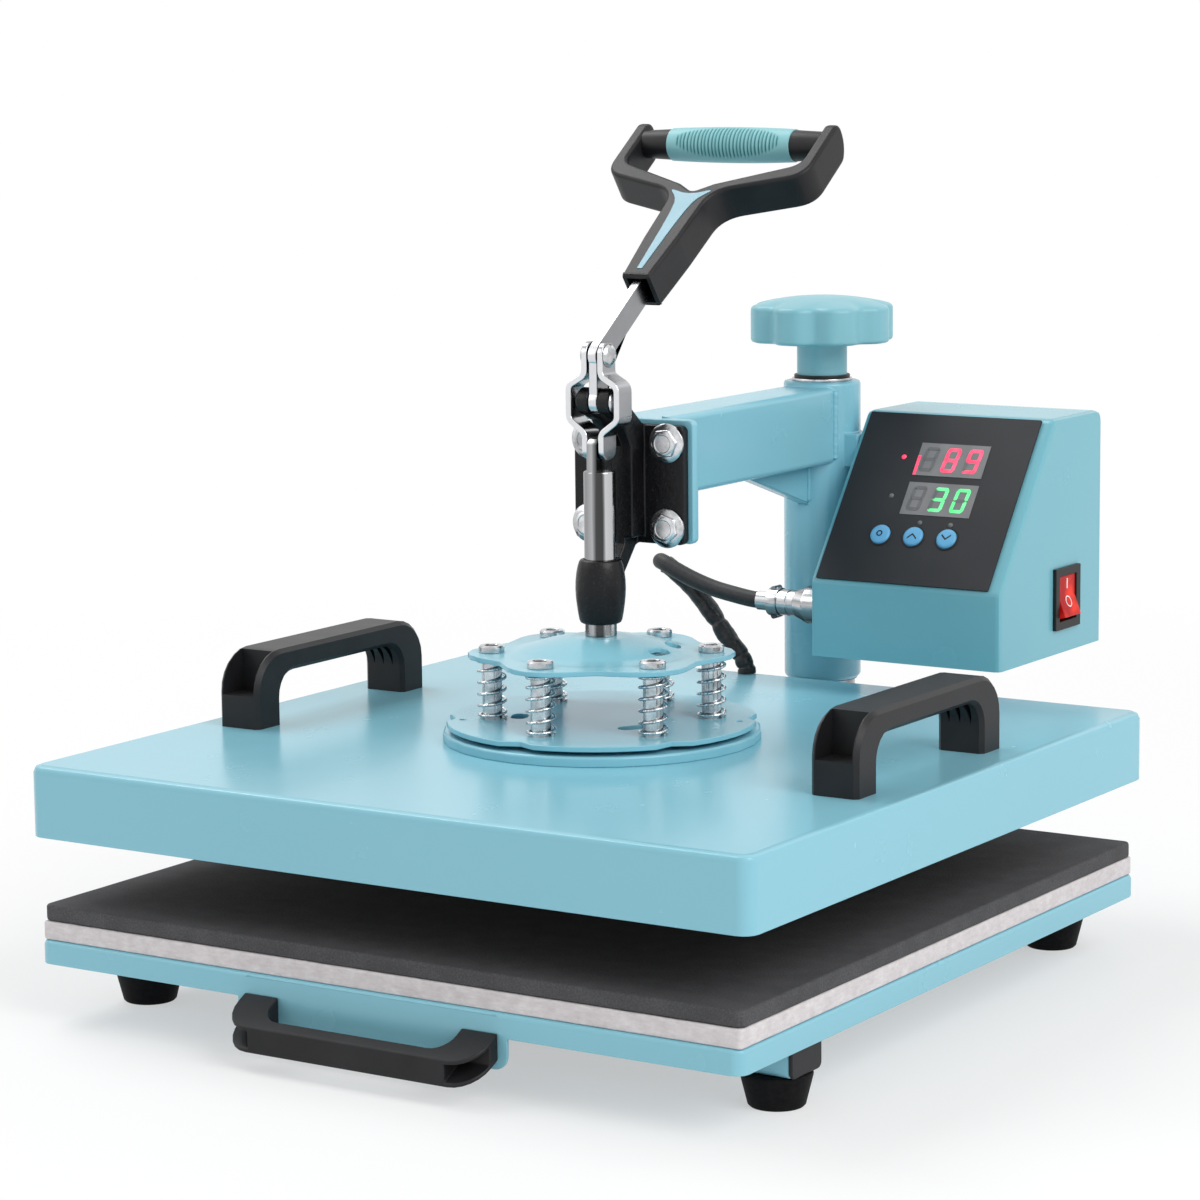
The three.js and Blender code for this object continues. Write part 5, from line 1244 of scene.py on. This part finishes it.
def smoothWay(points, steps):
    points = [Vector(point) for point in points]
    points = [points[0] * 2 - points[1], *points, points[-1] * 2 - points[-2]]
    way = []
    for a, b, c, d in zip(points, points[1:], points[2:], points[3:]):
        for step in range(steps):
            t = step / steps
            square = (a * 2 - b * 5 + c * 4 - d) * t ** 2
            cube = (b * 3 - a - c * 3 + d) * t ** 3
            way.append((b * 2 + (c - a) * t + square + cube) / 2)
    return way + [points[-2]]


def makeCable():
    look = cableLook
    way = smoothWay(look["way"], look["steps"])
    joint = look["sleeveFrom"] * look["steps"]
    jacket = tube("cableJacket", way[:joint + 6], look["radius"], sides=8)
    seat(jacket, "arm", "cable_black", None, ["cable"], 60)
    fall = way[joint - 2:]
    fine = []
    for start, end in zip(fall, fall[1:]):
        fine += [start.lerp(end, step / 3) for step in range(3)]
    widths = []
    for index in range(len(fine)):
        share = index / len(fine)
        fold = sum(math.exp(-((share - place) / look["foldWidth"]) ** 2) for place in look["folds"])
        lump = look["lump"] * waver(Vector((index * look["lumpStep"], 0, 0)))
        widths.append(1 - look["foldDepth"] * fold + lump)
    sleeve = tube("cableSleeve", fine, look["sleeve"], widths, 10)
    offsets = [Vector((0, 0, 0)), Vector((9, 0, 0)), Vector((0, 9, 0))]

    def crumple(point):
        shift = Vector([waver(point / look["creaseSize"] + offset) for offset in offsets])
        return point + shift * look["crumple"] * min(1, max(0, (point.z - look["flatTo"]) / look["fade"]))

    reshape(sleeve, crumple)
    seat(sleeve, "arm", "cable_black", "sleeve", [], 60)


# rubber feet, turned
footProfile = [(0, -56), (11.9, -56), (12.7, -55.2), (16, -42), (15.8, -41), (15.1, -40.5), (0, -40.5)]
footPlaces = {
    "front_left": (-173.6, -133), "front_right": (173.6, -133),
    "rear_left": (-150.4, 180.3), "rear_right": (150.4, 180.3),
}


def makeFeet():
    for where, (x, y) in footPlaces.items():
        piece = lathe(camel("foot_" + where), footProfile, (x, y, 0), steps=56)
        seat(piece, "base", "rubber", None, ["foot_" + where], 40)


# floor, world and lamps
studio = {
    "floorZ": -0.0561, "floorHalf": 9.0, "floor": (0.9, 0.9, 0.9), "world": 0.45, "floorGlow": 0.5,
    "fadeFrom": 0.35, "fadeTo": 1.3,
    "lamps": [
        ("key", (2.2, -0.6, 1.8), 1.8, 45.0),
        ("fill", (-1.9, -1.5, 1.5), 1.6, 10.0),
        ("top", (-1.4, 0.3, 2.2), 1.3, 25.0),
        ("rim", (0.4, 2.3, 1.6), 1.6, 4.0),
    ],
}


def lookedAt(tree):
    path = tree.nodes.new("ShaderNodeLightPath")
    total = path.outputs["Is Camera Ray"]
    for name in ("Is Glossy Ray", "Is Transmission Ray"):
        larger = tree.nodes.new("ShaderNodeMath")
        larger.operation = "MAXIMUM"
        tree.links.new(total, larger.inputs[0])
        tree.links.new(path.outputs[name], larger.inputs[1])
        total = larger.outputs[0]
    return total


def addWorld():
    world = bpy.data.worlds.new("studio")
    world.use_nodes = True
    bpy.context.scene.world = world
    tree = world.node_tree
    background = tree.nodes["Background"]
    background.inputs["Color"].default_value = (1, 1, 1, 1)
    reach = tree.nodes.new("ShaderNodeMapRange")
    reach.inputs["To Min"].default_value = studio["world"]
    reach.inputs["To Max"].default_value = 1.0
    tree.links.new(lookedAt(tree), reach.inputs["Value"])
    tree.links.new(reach.outputs["Result"], background.inputs["Strength"])


def addFloor():
    place = (0, 0, studio["floorZ"])
    floor = started("floor", bpy.ops.mesh.primitive_plane_add, size=studio["floorHalf"] * 2, location=place)
    graph = Graph("floorPaper")
    colour = graph.blend(graph.noise(1.2, 2), studio["floor"], (0.92, 0.92, 0.92))
    graph.finish(Base_Color=colour, Roughness=0.9)
    glow = graph.add("ShaderNodeEmission", {}, {"Color": (1, 1, 1), "Strength": 1.0})
    away = graph.add("ShaderNodeVectorMath", {"operation": "LENGTH"}, {0: graph.place()}, "Value")
    reach = {
        "Value": away, "From Min": studio["fadeFrom"], "From Max": studio["fadeTo"],
        "To Min": studio["floorGlow"],
    }
    share = Value(graph, lookedAt(graph.tree)) * graph.add("ShaderNodeMapRange", {}, reach, "Result")
    paper = Value(graph, graph.shader.outputs[0])
    mixed = graph.add("ShaderNodeMixShader", {}, {0: share, 1: paper, 2: glow})
    graph.tree.links.new(mixed.socket, graph.output.inputs[0])
    floor.data.materials.append(graph.material)


def addLamps():
    for name, place, size, power in studio["lamps"]:
        data = bpy.data.lights.new(name, "AREA")
        data.energy = power
        data.size = size
        lamp = placed(name, data)
        lamp.location = place
        aim = Vector((0, 0, 0.1)) - Vector(place)
        lamp.rotation_euler = aim.to_track_quat("-Z", "Y").to_euler()


addCamera()
addWorld()
addFloor()
addLamps()
for node, piece in nodes.items():
    dress(piece, slotOf[node])
print("stage: camera, floor and lamps")

softenNodes()
print("stage: pieces that keep the CAD form")
makePads()
makeKnob()
makeWasher()
makeWelds()
makePlunger()
makeRivet("upperRivet", "upper_rivet", "links")
makeRivet("plungerPin", "plunger_pin", "plunger")
makeRivet("pivotPin", "pivot_pin", "arm")
makeLink("linkLeft", "link_left", -1)
makeLink("linkRight", "link_right", 1)
makeFlangeBolts()
print("stage: arm and clamp")
makeSprings()
makeHandle()
makeStripe()
makeGrip()
print("stage: springs and handle")
makeFilm()
makeDisplays()
makeLamps()
makeButtons()
makeRockerMarks()
print("stage: control box")
makePlug()
makeCable()
makeFeet()
print("stage: plug, cable and feet")
